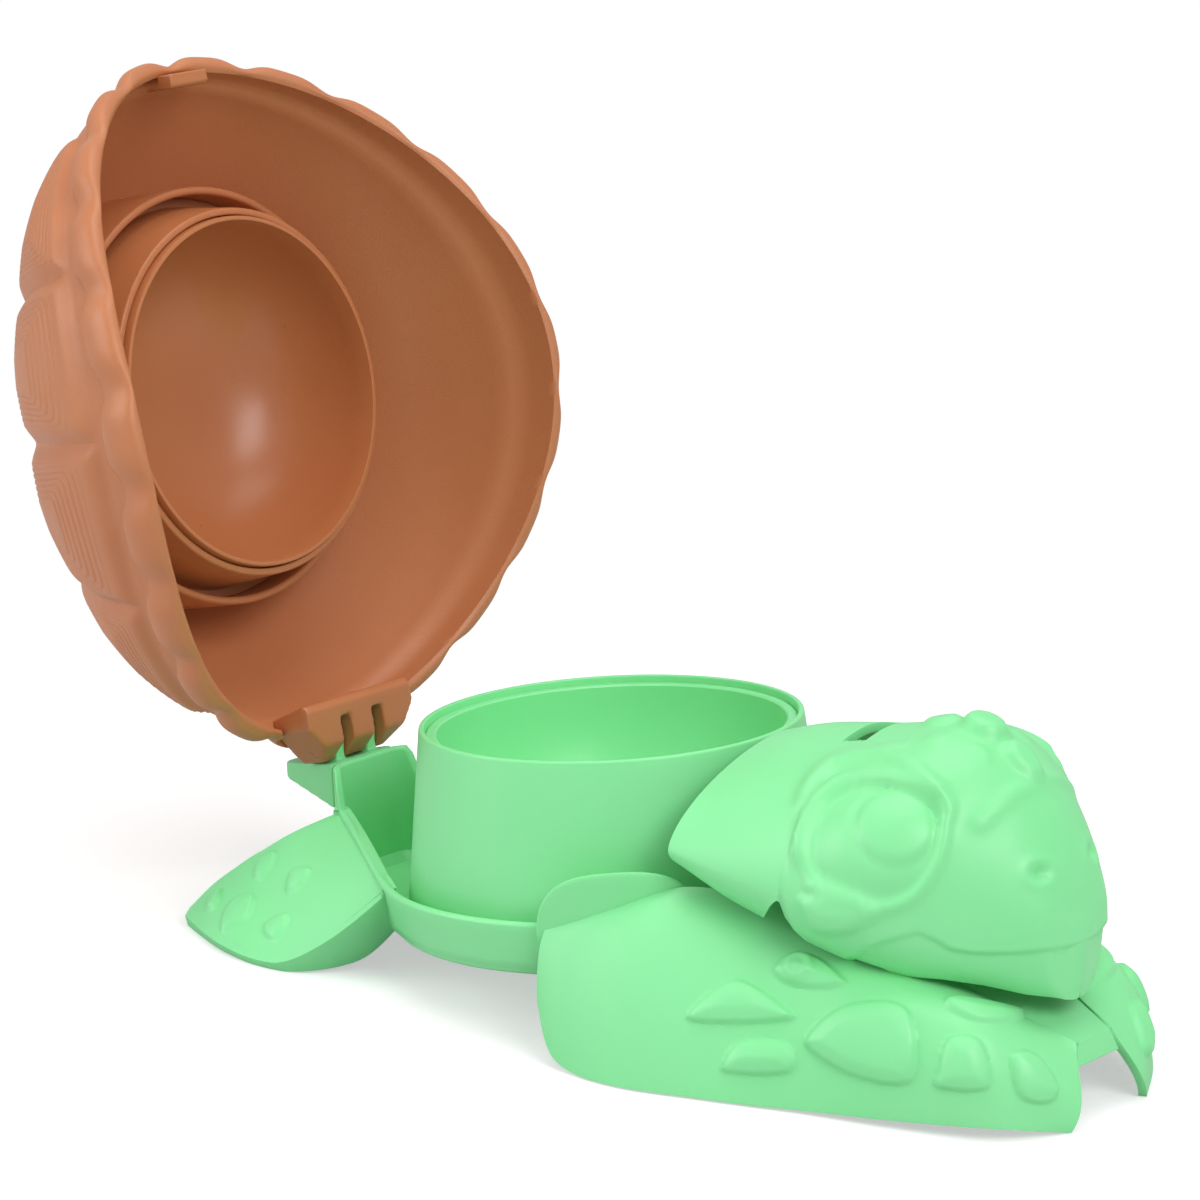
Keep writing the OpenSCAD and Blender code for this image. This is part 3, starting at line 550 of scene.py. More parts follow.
# %% [markdown]
# ## Tail, hinge and small fittings
# The wedge tail with its two lugs, the cover's hinge tongue, the latch tab, the pin and the screws are
# plain forms whose solids are already right. A copy of each is merged, and its flat triangles are
# dissolved into whole faces. The tab, the pin and the screws get a narrow bevel. The tail and the tongue
# are meshed again finely and evenly, and smoothing wears them round all over.

# %% Softened copies of the fittings
def softened(name, node_name, finish, body, width, passes=0):
    """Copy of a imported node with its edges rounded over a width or, with smoothing passes, worn round
    all over on an even mesh of that width."""
    mesh = frame["nodes"][node_name].data.copy()
    work = bmesh.new()
    work.from_mesh(mesh)
    bmesh.ops.remove_doubles(work, verts=work.verts, dist=1e-6)
    bmesh.ops.dissolve_limit(work, angle_limit=math.radians(1), verts=work.verts, edges=work.edges)
    work.to_mesh(mesh)
    work.free()
    mesh.name = name
    mesh.materials.clear()
    piece = enter(name, mesh, finish, body, [node_name])
    if passes:
        even = piece.modifiers.new("even", "REMESH")
        even.mode = "VOXEL"
        even.voxel_size = width * MM
        even.use_smooth_shade = True
        worn = piece.modifiers.new("worn", "SMOOTH")
        worn.factor = 0.5
        worn.iterations = passes
    else:
        bevelled(piece, width, 30)
    print(f"{name}: {len(mesh.polygons)} faces before its edges are rounded")


softened("tail_wedge", "tail", green, BODY, 0.45, 8)
softened("hinge_tongue", "hinge_leaf", brown, COVER, 0.5, 22)
softened("latch_hook", "latch_tab", brown, COVER, 0.6)
softened("hinge_rod", "hinge_pin", steel, BODY, 0.3)
softened("head_fixings", "head_screws", steel, BODY, 0.3)

# %% [markdown]
# ## Front flippers
# A front flipper is a sheet between two lines: an upper line along its root and under the head, and a
# lower line round the elbow to the tip on the floor. Across it runs a curve that bulges outwards. On
# top lie seven raised scales, drawn in the plane of the picture's view, one of them with a curl. A
# rounded flange stands up against the pan's wall.

# %% The two lines and the sheet between them
def foot(x, y, lift=0.0):
    """Point at a lift above the floor under the tipped tub."""
    return (x, y, (TIP_REACH - x) * math.tan(PITCH) + lift)


def on_wall(degrees, z, out):
    """Point on the outside of the pan's wall at a plan angle and a height."""
    a = np.radians(degrees)
    r = mix(PAN_FOOT_R, PAN_RIM_R, (np.asarray(z) - PAN_Z) / PAN_H) + out
    return np.stack([r * np.cos(a), r * np.sin(a), z + 0 * r], -1)


front_upper = np.array([
    *on_wall([-68, -54, -39], PAN_RIM_Z + np.array([-1, 5, 11]), 2.4),
    (82, -37, 62.7), (106, -29, 55), (131, -22, 44.2), (155, -15, 33.2), (176, -9, 23.7),
])
front_lower = [
    (28, -76, 33.2), foot(37, -80, 3), foot(60, -80), foot(85, -71.5), foot(113, -61, 1.2),
    foot(142, -52.5, 2.8), foot(168, -41.5, 4), foot(180.5, -20),
]
FRONT_BULGE, TIP_SWELL, TIP_NOSE = 0.55, np.array([2.0, -8.5, 17.0]), np.array([2.6, 0.5, 0.0])
# Shares of the length: where the swelling starts and how fast it grows, where the bulge fades, the end
SWELL_FROM, SWELL_RUN, FADE_AT, END_AT = 0.45, 0.35, 0.80, 0.86

front_scales = [
    [(27.5, -127.2), (41.8, -117), (57.3, -125.3), (58.6, -130.6), (31.2, -131.6)],
    [(37.4, -144), (43.3, -136.4), (58.6, -137.1), (58.6, -146.6), (39.9, -147.1)],
    [(53, -114.7), (59.2, -109.1), (67.9, -110.5), (76.6, -118.4), (70.1, -120.9), (58.6, -119.7)],
    [(63.9, -134.6), (76.6, -124.9), (95.9, -126.5), (96.8, -148.8), (80.3, -148.3), (66.1, -140.6)],
    [(104.2, -145.2), (107.9, -134.9), (118.4, -136.6), (120.6, -151.3), (104.7, -151.3)],
    [(126.6, -141.1), (134.8, -140.1), (142.3, -150.8), (138.3, -156.3), (129.3, -154)],
    [(106.2, -125.9), (110.4, -122.4), (131.6, -127.2), (126.1, -131.4), (115.7, -131.1)],
]
CURL_AT, CURL_R = (61.9, -114.1), 3.4
# Height, width of the edge and crown of a raised scale
FRONT_SCALE, REAR_SCALE, CHEEK_PAD = (1.7, 1.8, 1.4), (1.4, 1.5, 0.9), (2.0, 4.2, 1.4)
FLANGE_FROM, FLANGE_TO, FLANGE_RISE = -70, -36, 18


def front_sheet(rows=110, cols=220):
    """Grid across (rows) and along (columns) the flipper, with its scales raised along the normal.
    The end is pushed out by the bump 27/4 v^2 (1 - v), whose top is 1."""
    u = np.linspace(0, 1, cols)
    v = np.linspace(0, 1, rows)[:, None, None]
    a, b = along(front_upper, u), along(front_lower, u)
    over = np.stack([b[:, 0], b[:, 1], a[:, 2]], 1)
    end = np.clip((u - END_AT) / (1 - END_AT), 0, 1)
    fuller = ease((u - SWELL_FROM) / SWELL_RUN) * (1 - end**1.5)
    bulge = FRONT_BULGE * (1 - ease((u - FADE_AT) / (1 - FADE_AT)))
    c = mix(mix(a, b, 0.5), over, bulge[:, None]) + fuller[:, None] * TIP_SWELL
    sheet = mix(mix(a, c, v), mix(c, b, v), v)
    sheet += 27 / 4 * v**2 * (1 - v) * ease(end)[:, None] * TIP_NOSE
    s, t = sight(sheet)
    curl = np.hypot(s - CURL_AT[0], t - CURL_AT[1])
    rise = scales_rise(sheet, front_scales, *FRONT_SCALE)
    rise += 0.9 * hump(curl - CURL_R, 1.2) + 0.7 * hump(curl, 1.3)
    return sheet + rise[..., None] * outward(sheet, UP)[0]


def above_floor(grid, fade):
    """Lifts each column of a grid until the inner face of its wall, one wall below along the normal,
    clears the floor; fade is the share of the lift that each row takes."""
    up = np.array([math.sin(PITCH), 0.0, math.cos(PITCH)])
    for _ in range(2):
        lean = np.maximum(0, outward(grid, up)[0] @ up)
        short = np.maximum(0, SHEET_WALL * lean - stand(grid)[..., 2] / MM).max(0)
        grid = grid + (fade[:, None] * short)[..., None] * up
    return grid


def flange_rings():
    """Flange along a stretch of the pan's wall: rounded top, thin rounded edge."""
    u = np.linspace(0, 1, 60)
    turn = np.linspace(0, 2 * math.pi, 24, endpoint=False)
    degrees = mix(FLANGE_FROM, FLANGE_TO, u)
    low = mix(PAN_Z + 6, PAN_Z + 12, u)
    arch = np.sqrt(np.maximum(0.02, 1 - np.abs(2 * u - 1) ** 2.6))
    top = mix(PAN_RIM_Z - 2, PAN_RIM_Z + 8, u) + FLANGE_RISE * arch * (1 - 0.45 * u)
    up = 0.5 - 0.5 * np.sign(np.cos(turn)) * np.abs(np.cos(turn)) ** 0.35
    out = 1.35 + 1.2 * np.sign(np.sin(turn)) * np.abs(np.sin(turn)) ** 0.5
    z = mix(low[:, None], top[:, None], up)
    return on_wall(degrees[:, None], z, out + 0 * z)


front = front_sheet()
front = above_floor(front, np.linspace(0, 1, len(front)) ** 3)
front_faces = outward(front, UP)[1]
flange, flange_faces = stacked(flange_rings())
for side in SIDES:
    add_side("front_flipper", side, front, front_faces, 0.8)
    add_piece(f"front_flange_{side}", flange * SIDES[side], flange_faces, green, BODY)

# %% [markdown]
# ## Rear flippers
# A rear flipper has four rails from its root on the pan to its tip: a front foot and crest, a rear crest
# and foot. Between the crests lies a slightly puffed top with five small scales. The front wall meets
# it at a crisp edge: the three strips are one sheet, folded along the crests.

# %% Rails, strips and scales
# From root to tip: front foot, front crest, rear crest, rear foot
rear_rails = [
    [(-50, -46, 40.2), foot(-63, -54, 4), foot(-81, -69), foot(-106, -69), foot(-134, -57)],
    [(-46, -56, 52.7), (-64, -66, 37), foot(-83, -71.5, 3), foot(-107, -70.5, 3), foot(-134, -58, 3.5)],
    [(-97, -16, 64.5), (-109, -29, 58.5), (-119, -36, 52), (-129, -46, 43.5), (-135, -54.5, 35.5)],
    [(-99, -14, 47.2), foot(-112, -26, 5), foot(-122, -33, 1), foot(-131, -44), foot(-135, -54)],
]
rear_scales = [
    [(-107.5, -86.8), (-107, -81.8), (-103.5, -78.4), (-99.6, -77.9), (-101, -82.8), (-104, -86.8)],
    [(-97.6, -90.7), (-96.6, -84.8), (-93.6, -82.8), (-89.2, -82.8), (-89.7, -85.8), (-93.6, -90.2)],
    [(-122.5, -96.7), (-121.3, -92.2), (-116.8, -89.3), (-116.8, -92.7), (-118.8, -96.2)],
    [(-117.8, -103.1), (-116.8, -96.7), (-112.4, -91.7), (-106.5, -91.7), (-108.4, -99.1),
     (-113.4, -102.6)],
    [(-104.5, -104.1), (-103.5, -99.6), (-96.6, -96.7), (-96.6, -101.1), (-100.5, -106)],
]
REAR_PUFF = 1.5
SCALE_WAY = np.array([0.0, -0.35, 0.94])
ROOT_DEPTH = 1.2


def clear_of_pan(points, depth):
    """Moves points that lie deeper than depth behind the pan's outer face out to that depth."""
    rim = pan_outline(PAN_RIM_R, 0)
    edge = np.roll(rim, -1, 0) - rim
    out = unit(np.stack([edge[:, 1], -edge[:, 0]], 1))
    taper = (PAN_RIM_R - PAN_FOOT_R) * np.clip((PAN_RIM_Z - points[:, 2]) / PAN_H, 0, 1)
    gap = points[:, :2] @ out.T - np.einsum("ij,ij->i", rim, out) + taper[:, None]
    k = gap.argmax(1)
    push = np.maximum(0, -depth - gap[np.arange(len(points)), k])
    moved = points * 1.0
    moved[:, :2] += push[:, None] * out[k]
    return moved


def rear_sheet(rows=36, top_rows=70, cols=120):
    """Front wall, puffed top and rear wall in one grid from the root (first column) to the tip."""
    u = np.linspace(0, 1, cols)
    a, b, c, d = (along(rail, u) for rail in rear_rails)
    v = np.linspace(0, 1, rows)[:, None, None]
    w = np.linspace(0, 1, top_rows)[1:-1, None, None]
    puff = REAR_PUFF * (1 - u**2)[None, :, None] * 4 * w * (1 - w)
    top = mix(b, c, w) + puff * UP
    top = top + scales_rise(top, rear_scales, *REAR_SCALE)[..., None] * SCALE_WAY
    return np.concatenate([mix(a, b, v), top, mix(c, d, v)])


rear = rear_sheet()
rear = above_floor(rear, np.ones(len(rear)))
rear_points = clear_of_pan(rear.reshape(-1, 3), ROOT_DEPTH)
for side in SIDES:
    add_side("rear_flipper", side, rear_points, outward(rear, UP)[1], 0.6)

# %% [markdown]
# ## Chest apron
# Between the front flippers, under the chin, a gently crowned bridge closes the body. It follows the
# flippers' upper line, so it is a grid from edge to edge of that line.

# %% Bridge between the front flippers
APRON_FROM, APRON_CROWN, APRON_DROP = 0.36, 3.0, np.array([1.4, -2.2, -6.5])


def apron_sheet(rows=80, drop_rows=14, cols=60):
    """Grid from one upper line to the other, crowned across, whose front end
    follows the flippers' front edges a little way down."""
    u = np.linspace(APRON_FROM, 1, rows)
    crown = APRON_CROWN * (1 - ease((u - 0.75) / 0.25))
    down = front_upper[-1] + np.linspace(0, 1, drop_rows)[1:, None] * APRON_DROP
    p = np.concatenate([along(front_upper, u), down])[:, None]
    crown = np.concatenate([crown, np.zeros(drop_rows - 1)])[:, None]
    v = np.linspace(-1, 1, cols)[None, :]
    half = -p[..., 1] - 0.4
    return np.stack([p[..., 0] + 0 * v, half * v, p[..., 2] + crown * (1 - v**2) - 0.5], -1)


apron = apron_sheet()
add_sheet("chest_bridge", apron, outward(apron, UP)[1], 0.8, "chest_apron")

# %% [markdown]
# ## Head
# The head is a hollow hood: arches across X, swept from the neck to the nose. Its sections come from
# a few stations, and the face is laid out in the picture's view: a bulging eye under a heavy lid, a
# brow fold, a cheek pad, a nostril, a step where the jaw sits back, and scales on the crown. The lower
# edge has a notch behind each cheek, and a slot crosses the top for the cover's tab. An open sheet with
# the slot's cells left out is thickened into the wall.

# %% Sections of the hood
HEAD_X, HEAD_LEN, HEAD_HALF = 66.0, 107.0, 57.0
HEAD_TOP, CHIN_Z = 114.2, 36.0
HEAD_MIDDLE = np.array([110, 0, 60])
# Share of the length, drop of the crown, share of the half width, level of the widest place,
# depth below that level, end angle of the arch
head_stations = np.array([
    (0, 11, 1, 0.550, 14, 108),
    (0.13, 7.6, 0.990, 0.500, 22, 120),
    (0.26, 6, 0.970, 0.460, 26, 120),
    (0.39, 4.8, 0.945, 0.410, 28, 122),
    (0.52, 2.8, 0.900, 0.370, 29, 126),
    (0.65, 1, 0.805, 0.330, 29, 127),
    (0.77, 5.4, 0.675, 0.300, 27, 132),
    (0.87, 15.8, 0.520, 0.285, 27, 147),
    (0.94, 28.6, 0.390, 0.280, 27, 165),
    (0.985, 42, 0.280, 0.280, 26, 174),
    (1, 53, 0.140, 0.280, 22, 180),
])
SLOT_X, SLOT_W, SLOT_LEN, SLOT_ABOVE = 103.4, 8.2, 26.4, 90.0
NOSE_ROUND = 1.2


def hood(t, turn):
    """Point of the hood at t along its length and a turn in degrees from the crown down its arch:
    y = -half sin(a)^k, z = mid + up cos(a)^k above the widest level, mid + low cos(a) below it."""
    q = along(head_stations, t)
    half, mid = HEAD_HALF * q[..., 2], mix(CHIN_Z, HEAD_TOP, q[..., 3])
    up, low = HEAD_TOP - q[..., 1] - mid, q[..., 4]
    peak = mix(1.28, 1.0, ease(t * 1.6))
    a = np.radians(turn)
    s, c = np.sin(a), np.cos(a)
    z = mid + np.where(c > 0, up * np.abs(c) ** peak, low * c)
    return np.stack([HEAD_X + HEAD_LEN * q[..., 0], -half * np.sign(s) * np.abs(s) ** peak, z], -1)


eye_outline = flowing([
    (64, -79.8), (65, -71.5), (68.7, -63.1), (76.1, -57.6), (85.4, -55.7), (95.6, -57.6),
    (102.1, -61.3), (106.3, -66.4), (105.3, -76.1), (102.1, -83.5), (97.5, -90), (87.7, -94.5),
    (78.9, -91), (70.5, -88.6), (65.9, -85.4),
])
BALL_AT, BALL_W, BALL_H = (84.9, -76.1), 21.5, 19.2
IRIS_AT, IRIS_R = (91.9, -70.1), 12.0
NOSTRIL_AT, NOSTRIL_R = (136.4, -84.5), 4.0
EYE_SINK, BALL_RISE, IRIS_STEP = 1.7, 4.2, 0.45
LID_RISE, UNDER_LID_RISE, BROW_GROOVE, JAW_STEP = 2.4, 0.7, 1.2, 1.2
cheek_outline = flowing([
    (62, -93.5), (66.8, -91.5), (74.3, -91.5), (82.6, -94.5), (86, -97.5), (82, -100.5),
    (74.3, -103), (66, -101.5),
])
mouth_corners = [(109.5, -108.1), (116.9, -109.1), (129.9, -109.0), (142.9, -107.4), (160.0, -105.0)]
jaw_outline = [
    (72, -114.5), (78, -110.9), (86.3, -106.7), (98.4, -102.8), (105.8, -106.3), *mouth_corners,
    (175, -104), (175, -140), (72, -140),
]
brow_line, lower_lid, mouth_line, snout_ridge = (flowing(line, closed=False) for line in (
    [(63, -62), (66.5, -55.5), (73.3, -50.1), (85.4, -47.8), (96.5, -51.1), (104.9, -58.5)],
    [(65, -89.1), (74.3, -89.9), (81.7, -92.8), (88.2, -94.9), (97.5, -91), (104.9, -79.8),
     (106.3, -68.7)],
    [(107, -107.2), *mouth_corners],
    [(117.9, -68.7), (129, -59.4), (140, -54.5)],
))
# Raised lines of the face: the line, its height, its half width
face_ridges = [
    (brow_line, 1.7, 2.7), (lower_lid, 1.1, 1.8), (mouth_line, 0.5, 0.8), (snout_ridge, 1.0, 3.0),
]
# Crown scales: place along X and Y, half sizes, height
crown_scales = [
    (126.4, 0, 6.8, 6, 2), (141.3, 0, 7.4, 6.6, 4), (154, 0, 5.6, 5.6, 2.8),
    (133, 12.5, 4.2, 3.2, 0.6), (147, 11, 4.2, 3.2, 0.6), (121, 17, 5, 3, 0.7),
]
# Hem of the hood in the view, with a notch behind the cheek
hem_line = np.array([
    (22.8, -85.4), (30, -91.2), (40.4, -97.7), (46.3, -99.7), (50.2, -99.1), (52.6, -94.6),
    (55, -92.6), (56.6, -95), (59.9, -104.2), (66.4, -108.8), (76.2, -112.7), (79, -112.9),
    (80.5, -113.9), (88.5, -117.3), (105.6, -118.6), (118.6, -120.4), (131.6, -123.2), (144.6, -124.5),
    (151, -123.8), (160, -120),
])


def face_relief(p):
    """Height of the face over the smooth hood, in mm, from places in the picture's view."""
    u, v = sight(p)
    d = inside(u, v, eye_outline)
    within = ease(-d / 2.6)
    upper = ease((v + 80 - 0.3 * (u - 62)) / 9 + 0.5)
    ball = np.maximum(0, 1 - ((u - BALL_AT[0]) / BALL_W) ** 2 - ((v - BALL_AT[1]) / BALL_H) ** 2)
    iris = np.hypot(u - IRIS_AT[0], v - IRIS_AT[1])
    eye = BALL_RISE * ball**0.8 - EYE_SINK
    eye += IRIS_STEP * (ease((IRIS_R - iris) / 2.0) - hump(iris - IRIS_R - 0.8, 1.4))
    lids = mix(UNDER_LID_RISE * hump(d - 1.4, 1.9), LID_RISE * hump(d - 2.2, 2.6), upper)
    lids -= BROW_GROOVE * hump(near_line(u, v, brow_line - (0.0, 4.0)), 1.8)
    rise = mix(lids, eye, within)
    rise += sum(high * hump(near_line(u, v, line), wide) for line, high, wide in face_ridges)
    rise += plateau(u, v, cheek_outline, *CHEEK_PAD, spread=2.0)
    rise -= JAW_STEP * ease((1.0 - inside(u, v, jaw_outline)) / 2.4)
    nostril = np.hypot((u - NOSTRIL_AT[0]) / 1.15, v - NOSTRIL_AT[1])
    rise += 0.4 * hump(nostril - NOSTRIL_R, 1.8) - 1.8 * hump(nostril, 2.1)
    x, y = p[..., 0], np.abs(p[..., 1])
    crown = ease((p[..., 2] - 80) / 12)
    scales = [high * ease((1.15 - np.hypot((x - sx) / hx, (y - sy) / hy)) / 0.6)
              for sx, sy, hx, hy, high in crown_scales]
    return rise + crown * np.max(scales, 0)


def hem_turn(t):
    """Where each arch ends: the first turn at which it drops below the hem in the view,
    or its station's own end where it never does."""
    end = along(head_stations, t)[:, 5]
    turn = mix(70.0, end[:, None] + 8, np.linspace(0, 1, 500))
    u, v = sight(hood(t[:, None] + 0 * turn, turn))
    below = v < np.interp(u, *hem_line.T, left=-1e3, right=-1e3)
    first = np.where(below.any(1), turn[np.arange(len(t)), below.argmax(1)], end)
    return np.convolve(np.pad(first, 1, "edge"), np.ones(3) / 3, "valid")


def calmed(field):
    """Field on a grid, each value averaged with its neighbours (1, 2, 1) along both ways."""
    f = np.pad(field, 1, "edge")
    f = (f[:-2] + 2 * f[1:-1] + f[2:]) / 4
    return (f[:, :-2] + 2 * f[:, 1:-1] + f[:, 2:]) / 4


def hood_sheet(rows=190, cols=200):
    """Grid from the neck to the nose and from hem to hem, with the face raised along its normal
    and the small end of the nose closed."""
    t = np.linspace(0, 1, rows)
    fine = np.linspace(0, 1, 20001)
    x, fine_x = (along(head_stations, k)[:, 0] * HEAD_LEN + HEAD_X for k in (t, fine))
    for edge in (SLOT_X - SLOT_W / 2, SLOT_X + SLOT_W / 2):
        t[np.abs(x - edge).argmin()] = fine[np.abs(fine_x - edge).argmin()]
    turn = np.linspace(-1, 1, cols)[None, :] * hem_turn(t)[:, None]
    base = hood(t[:, None] + 0 * turn, turn)
    out = outward(base, base - HEAD_MIDDLE)[0]
    skin = base + calmed(face_relief(base))[..., None] * out
    f = np.array([0.15, 0.35, 0.6, 0.85, 0.995])[:, None, None]
    end = mix(skin[-1], skin[-1].mean(0), f) + NOSE_ROUND * (2 - f) * f * [1, 0, 0]
    return np.concatenate([skin, end])


head_grid = hood_sheet()
head_faces = outward(head_grid, head_grid - HEAD_MIDDLE)[1]
middle = head_grid.reshape(-1, 3)[head_faces].mean(1)
in_slot = (np.abs(middle[:, :2] - [SLOT_X, 0]) < [SLOT_W / 2, SLOT_LEN / 2]).all(1)
in_slot &= middle[:, 2] > SLOT_ABOVE
add_sheet("head_hood", head_grid, head_faces[~in_slot], 0.7, "head")
print("cells left out for the slot:", int(in_slot.sum()))

# %% [markdown]
# ## Shell
# The cover is a dome over a rim that dips at the sides and lifts over the head. A single stack of rings
# goes down the inside, round the rim and up the outside. Twenty-two pillow-shaped lobes run along the
# rim, and the outside is swollen into plates with broad valleys between them, as on a real carapace.

# %% The dome and its rim
SHELL_L, SHELL_W, CROWN_Z, RIM_MID = 109.5, 98.0, 167.5, -3.2
SHELL_WALL, LOBES, BEAD, BEAD_SPAN = 3.0, 22, 4.6, 0.118
LEAF_TOP, LEAF_HALF, LEAF_X = 95.15, 25.15, -86.0
RIM_DROP, RIM_TILT, SIDE_DIP, QUARTER_LIFT, HEAD_LIFT, HEAD_DEGREES = 3.5, 4.9, 42.0, 2.5, 7.8, 26.0
DOME_POWER = 0.56


def rim_z(a):
    """Height of the shell's rim at turn a: dips at the sides, lifts over the head."""
    lift = HEAD_LIFT * hump(np.degrees(np.arctan2(np.sin(a), np.cos(a))), HEAD_DEGREES)
    lift += QUARTER_LIFT * np.sin(2 * a) ** 2 - SIDE_DIP * np.sin(a) ** 2
    return RIM_Z - RIM_DROP + RIM_TILT * np.cos(a) + lift


def dome(x, y, inset=0.0):
    """Point of the dome over a plan point of the unit disc: low + (crown - low)(1 - s^2)^0.56."""
    s2 = np.clip(x * x + y * y, 0, 1)
    low = rim_z(np.arctan2(y, x))
    z = low + (CROWN_Z - inset - low) * (1 - s2) ** DOME_POWER
    return np.stack([RIM_MID + (SHELL_L - inset) * x, (SHELL_W - inset) * y, z], -1)


def dome_normal(x, y):
    """Outward unit normal of the dome, from small steps across the plan."""
    e = 2e-3
    return unit(np.cross(dome(x + e, y) - dome(x - e, y), dome(x, y + e) - dome(x, y - e)))


spine = np.array([-0.80, -0.48, -0.16, 0.16, 0.48, 0.80])
waist = np.array([0.20, 0.19, 0.21, 0.21, 0.19, 0.20])
SPREAD, MARGIN = 0.34, 0.974
middles = (spine[1:] + spine[:-1]) / 2
seam_turn = np.radians([153, 120, 90, 61, 28])


def plate_outlines():
    """Plan outlines of five plates along the spine and four on each side."""
    plates = []
    for k in range(5):
        x0, xm, x1 = spine[k], middles[k], spine[k + 1]
        half = np.array([(x0, waist[k]), (xm, SPREAD), (x1, waist[k + 1])])
        plates.append([*(half * [1, -1]), *half[::-1]])
    for k in range(4):
        rim = MARGIN * rays(np.linspace(seam_turn[k], seam_turn[k + 1], 7))
        seam = [(middles[k + 1], SPREAD), (spine[k + 1], waist[k + 1]), (middles[k], SPREAD)]
        side = np.concatenate([rim, seam])
        plates += [side, side * [1, -1]]
    return [np.array(p) for p in plates]


def unrolled(p):
    """Plan point with its radius s turned into a share of the way down the dome: (2 / pi) asin(s)."""
    s = np.clip(np.linalg.norm(p, axis=-1, keepdims=True), 1e-6, 1)
    return p * np.arcsin(s) / (s * math.pi / 2)


def rolled(p):
    """The way back: sin(pi / 2 times the share)."""
    t = np.clip(np.linalg.norm(p, axis=-1, keepdims=True), 1e-6, 1)
    return p * np.sin(t * math.pi / 2) / t


PLATES = [unrolled(p) for p in plate_outlines()]
PLATE_RISE, VALLEY = 2.8, 0.045


def swell(x, y):
    """Height of the plates over the dome: none along the seams, all of it a valley's width away."""
    u, v = np.moveaxis(unrolled(np.stack([x, y], -1)), -1, 0)
    deepest = np.min([inside(u, v, p) for p in PLATES], 0)
    return PLATE_RISE * ease(-deepest / VALLEY) ** 0.8


def lobe(a):
    """Swell of the rim's lobes round the shell: 22 long pillows with soft dips between them."""
    return 0.40 + 0.60 * (1 - np.abs(np.cos(a * LOBES / 2)) ** 5)


BEAD_AT, RIM_FLARE, RIM_ROUND = 0.865, 2.0, 1.0


def shell_rings(cols=LOBES * 20):
    """Rings down the inside, round the rim and up the outside, from crown to crown."""
    a = np.linspace(0, 2 * math.pi, cols, endpoint=False)
    plan, high = rays(a), lobe(a)
    side = np.pad(unit(plan * [SHELL_W, SHELL_L]), ((0, 0), (0, 1)))
    t = np.linspace(0.02, 1, 44)[:, None]
    flare = RIM_FLARE * ease((t - BEAD_AT) / 0.05)
    inner = dome(*(np.sin(t * math.pi / 2) * plan.T[:, None]), SHELL_WALL - flare)
    t = np.concatenate([np.linspace(1, BEAD_AT, 30), np.linspace(0.855, 0.02, 66)])[:, None]
    x, y = np.sin(t * math.pi / 2) * plan.T[:, None]
    across = (1 - t) / (BEAD_SPAN * (0.62 + 0.38 * high))
    pillow = BEAD * high * np.clip(1 - (2 * across - 0.86) ** 2 / 1.3, 0, 1) ** 0.45
    outer = dome(x, y) + swell(x, y)[..., None] * dome_normal(x, y) + pillow[..., None] * side
    f = np.array([0.2, 0.4, 0.6, 0.8])[:, None, None]
    edge = mix(inner[-1], outer[0], f) - RIM_ROUND * np.sin(math.pi * f) * UP
    rings = np.concatenate([inner, edge, outer])
    cut = (np.abs(rings[..., 1]) < LEAF_HALF) & (rings[..., 0] < LEAF_X)
    rings[..., 2] = np.where(cut, np.maximum(rings[..., 2], LEAF_TOP), rings[..., 2])
    return rings


add_piece("shell_dome", *stacked(shell_rings()), stippled, COVER, "shell")

# %% [markdown]
# ## Growth lines
# Each plate carries nested growth lines. They follow its outline, shrunk towards its middle, so a grid
# of rings and turns suits them: one coordinate is the share of the outline, the other the way round it.
# The lines are steps in height, and each plate is a thin closed tile let into the shell.

# %% Plates with growth lines
RINGS = np.array([0.78, 0.70, 0.62, 0.54, 0.46, 0.38, 0.30])
RING_STEP, RING_GROOVE, TILE_SINK = 0.14, 0.22, 1.0


def smooth_outline(corners, count=144):
    """Closed outline walked at even steps, with its corners rounded by a running mean."""
    p = np.concatenate([corners, corners[:1]])
    length = np.concatenate([[0], np.cumsum(np.linalg.norm(np.diff(p, axis=0), axis=1))])
    at = np.linspace(0, length[-1], count, endpoint=False)
    walk = np.stack([np.interp(at, length, p[:, k]) for k in (0, 1)], 1)
    return sum(np.roll(walk, k, 0) for k in range(-3, 4)) / 7


def growth_plate(corners):
    """Tile over one plate: a fine groove and a low step at each ring, edges sunk into the shell."""
    outline = smooth_outline(corners)
    centre = outline.mean(0)
    share = np.concatenate([[0.845], np.linspace(0.84, 0.05, 120)])
    x, y = np.moveaxis(rolled(centre + (outline - centre) * share[:, None, None]), -1, 0)
    steps = RING_STEP * ease((RINGS - share[:, None]) / 0.02 + 0.5).sum(1)
    grooves = RING_GROOVE * hump(share[:, None] - RINGS - 0.014, 0.014).sum(1)
    high = swell(x, y) + (steps - grooves - 0.05)[:, None]
    n = dome_normal(x, y)
    top = dome(x, y) + high[..., None] * n
    under = dome(x, y) - TILE_SINK * n
    return np.concatenate([under[[-1, 60, 0]], top])


for number, corners in enumerate(PLATES, 1):
    add_piece(f"growth_plate_{number}", *stacked(growth_plate(corners)), stippled, COVER)

# %% [markdown]
# ## Bowl in the cover
# Under the crown a collar holds a skirt, and the skirt holds a dish whose lip drops into the step of
# the cup's rim when the cover is shut. All three are built round the cup's axis, then swung open.

# %% Collar, skirt and dish
COLLAR_R, COLLAR_WALL, COLLAR_Z, COLLAR_LAP = 66.0, 2.6, 115.0, 0.8
LID_Z, LID_SKIRT_H = RIM_Z + 0.5, 25.0


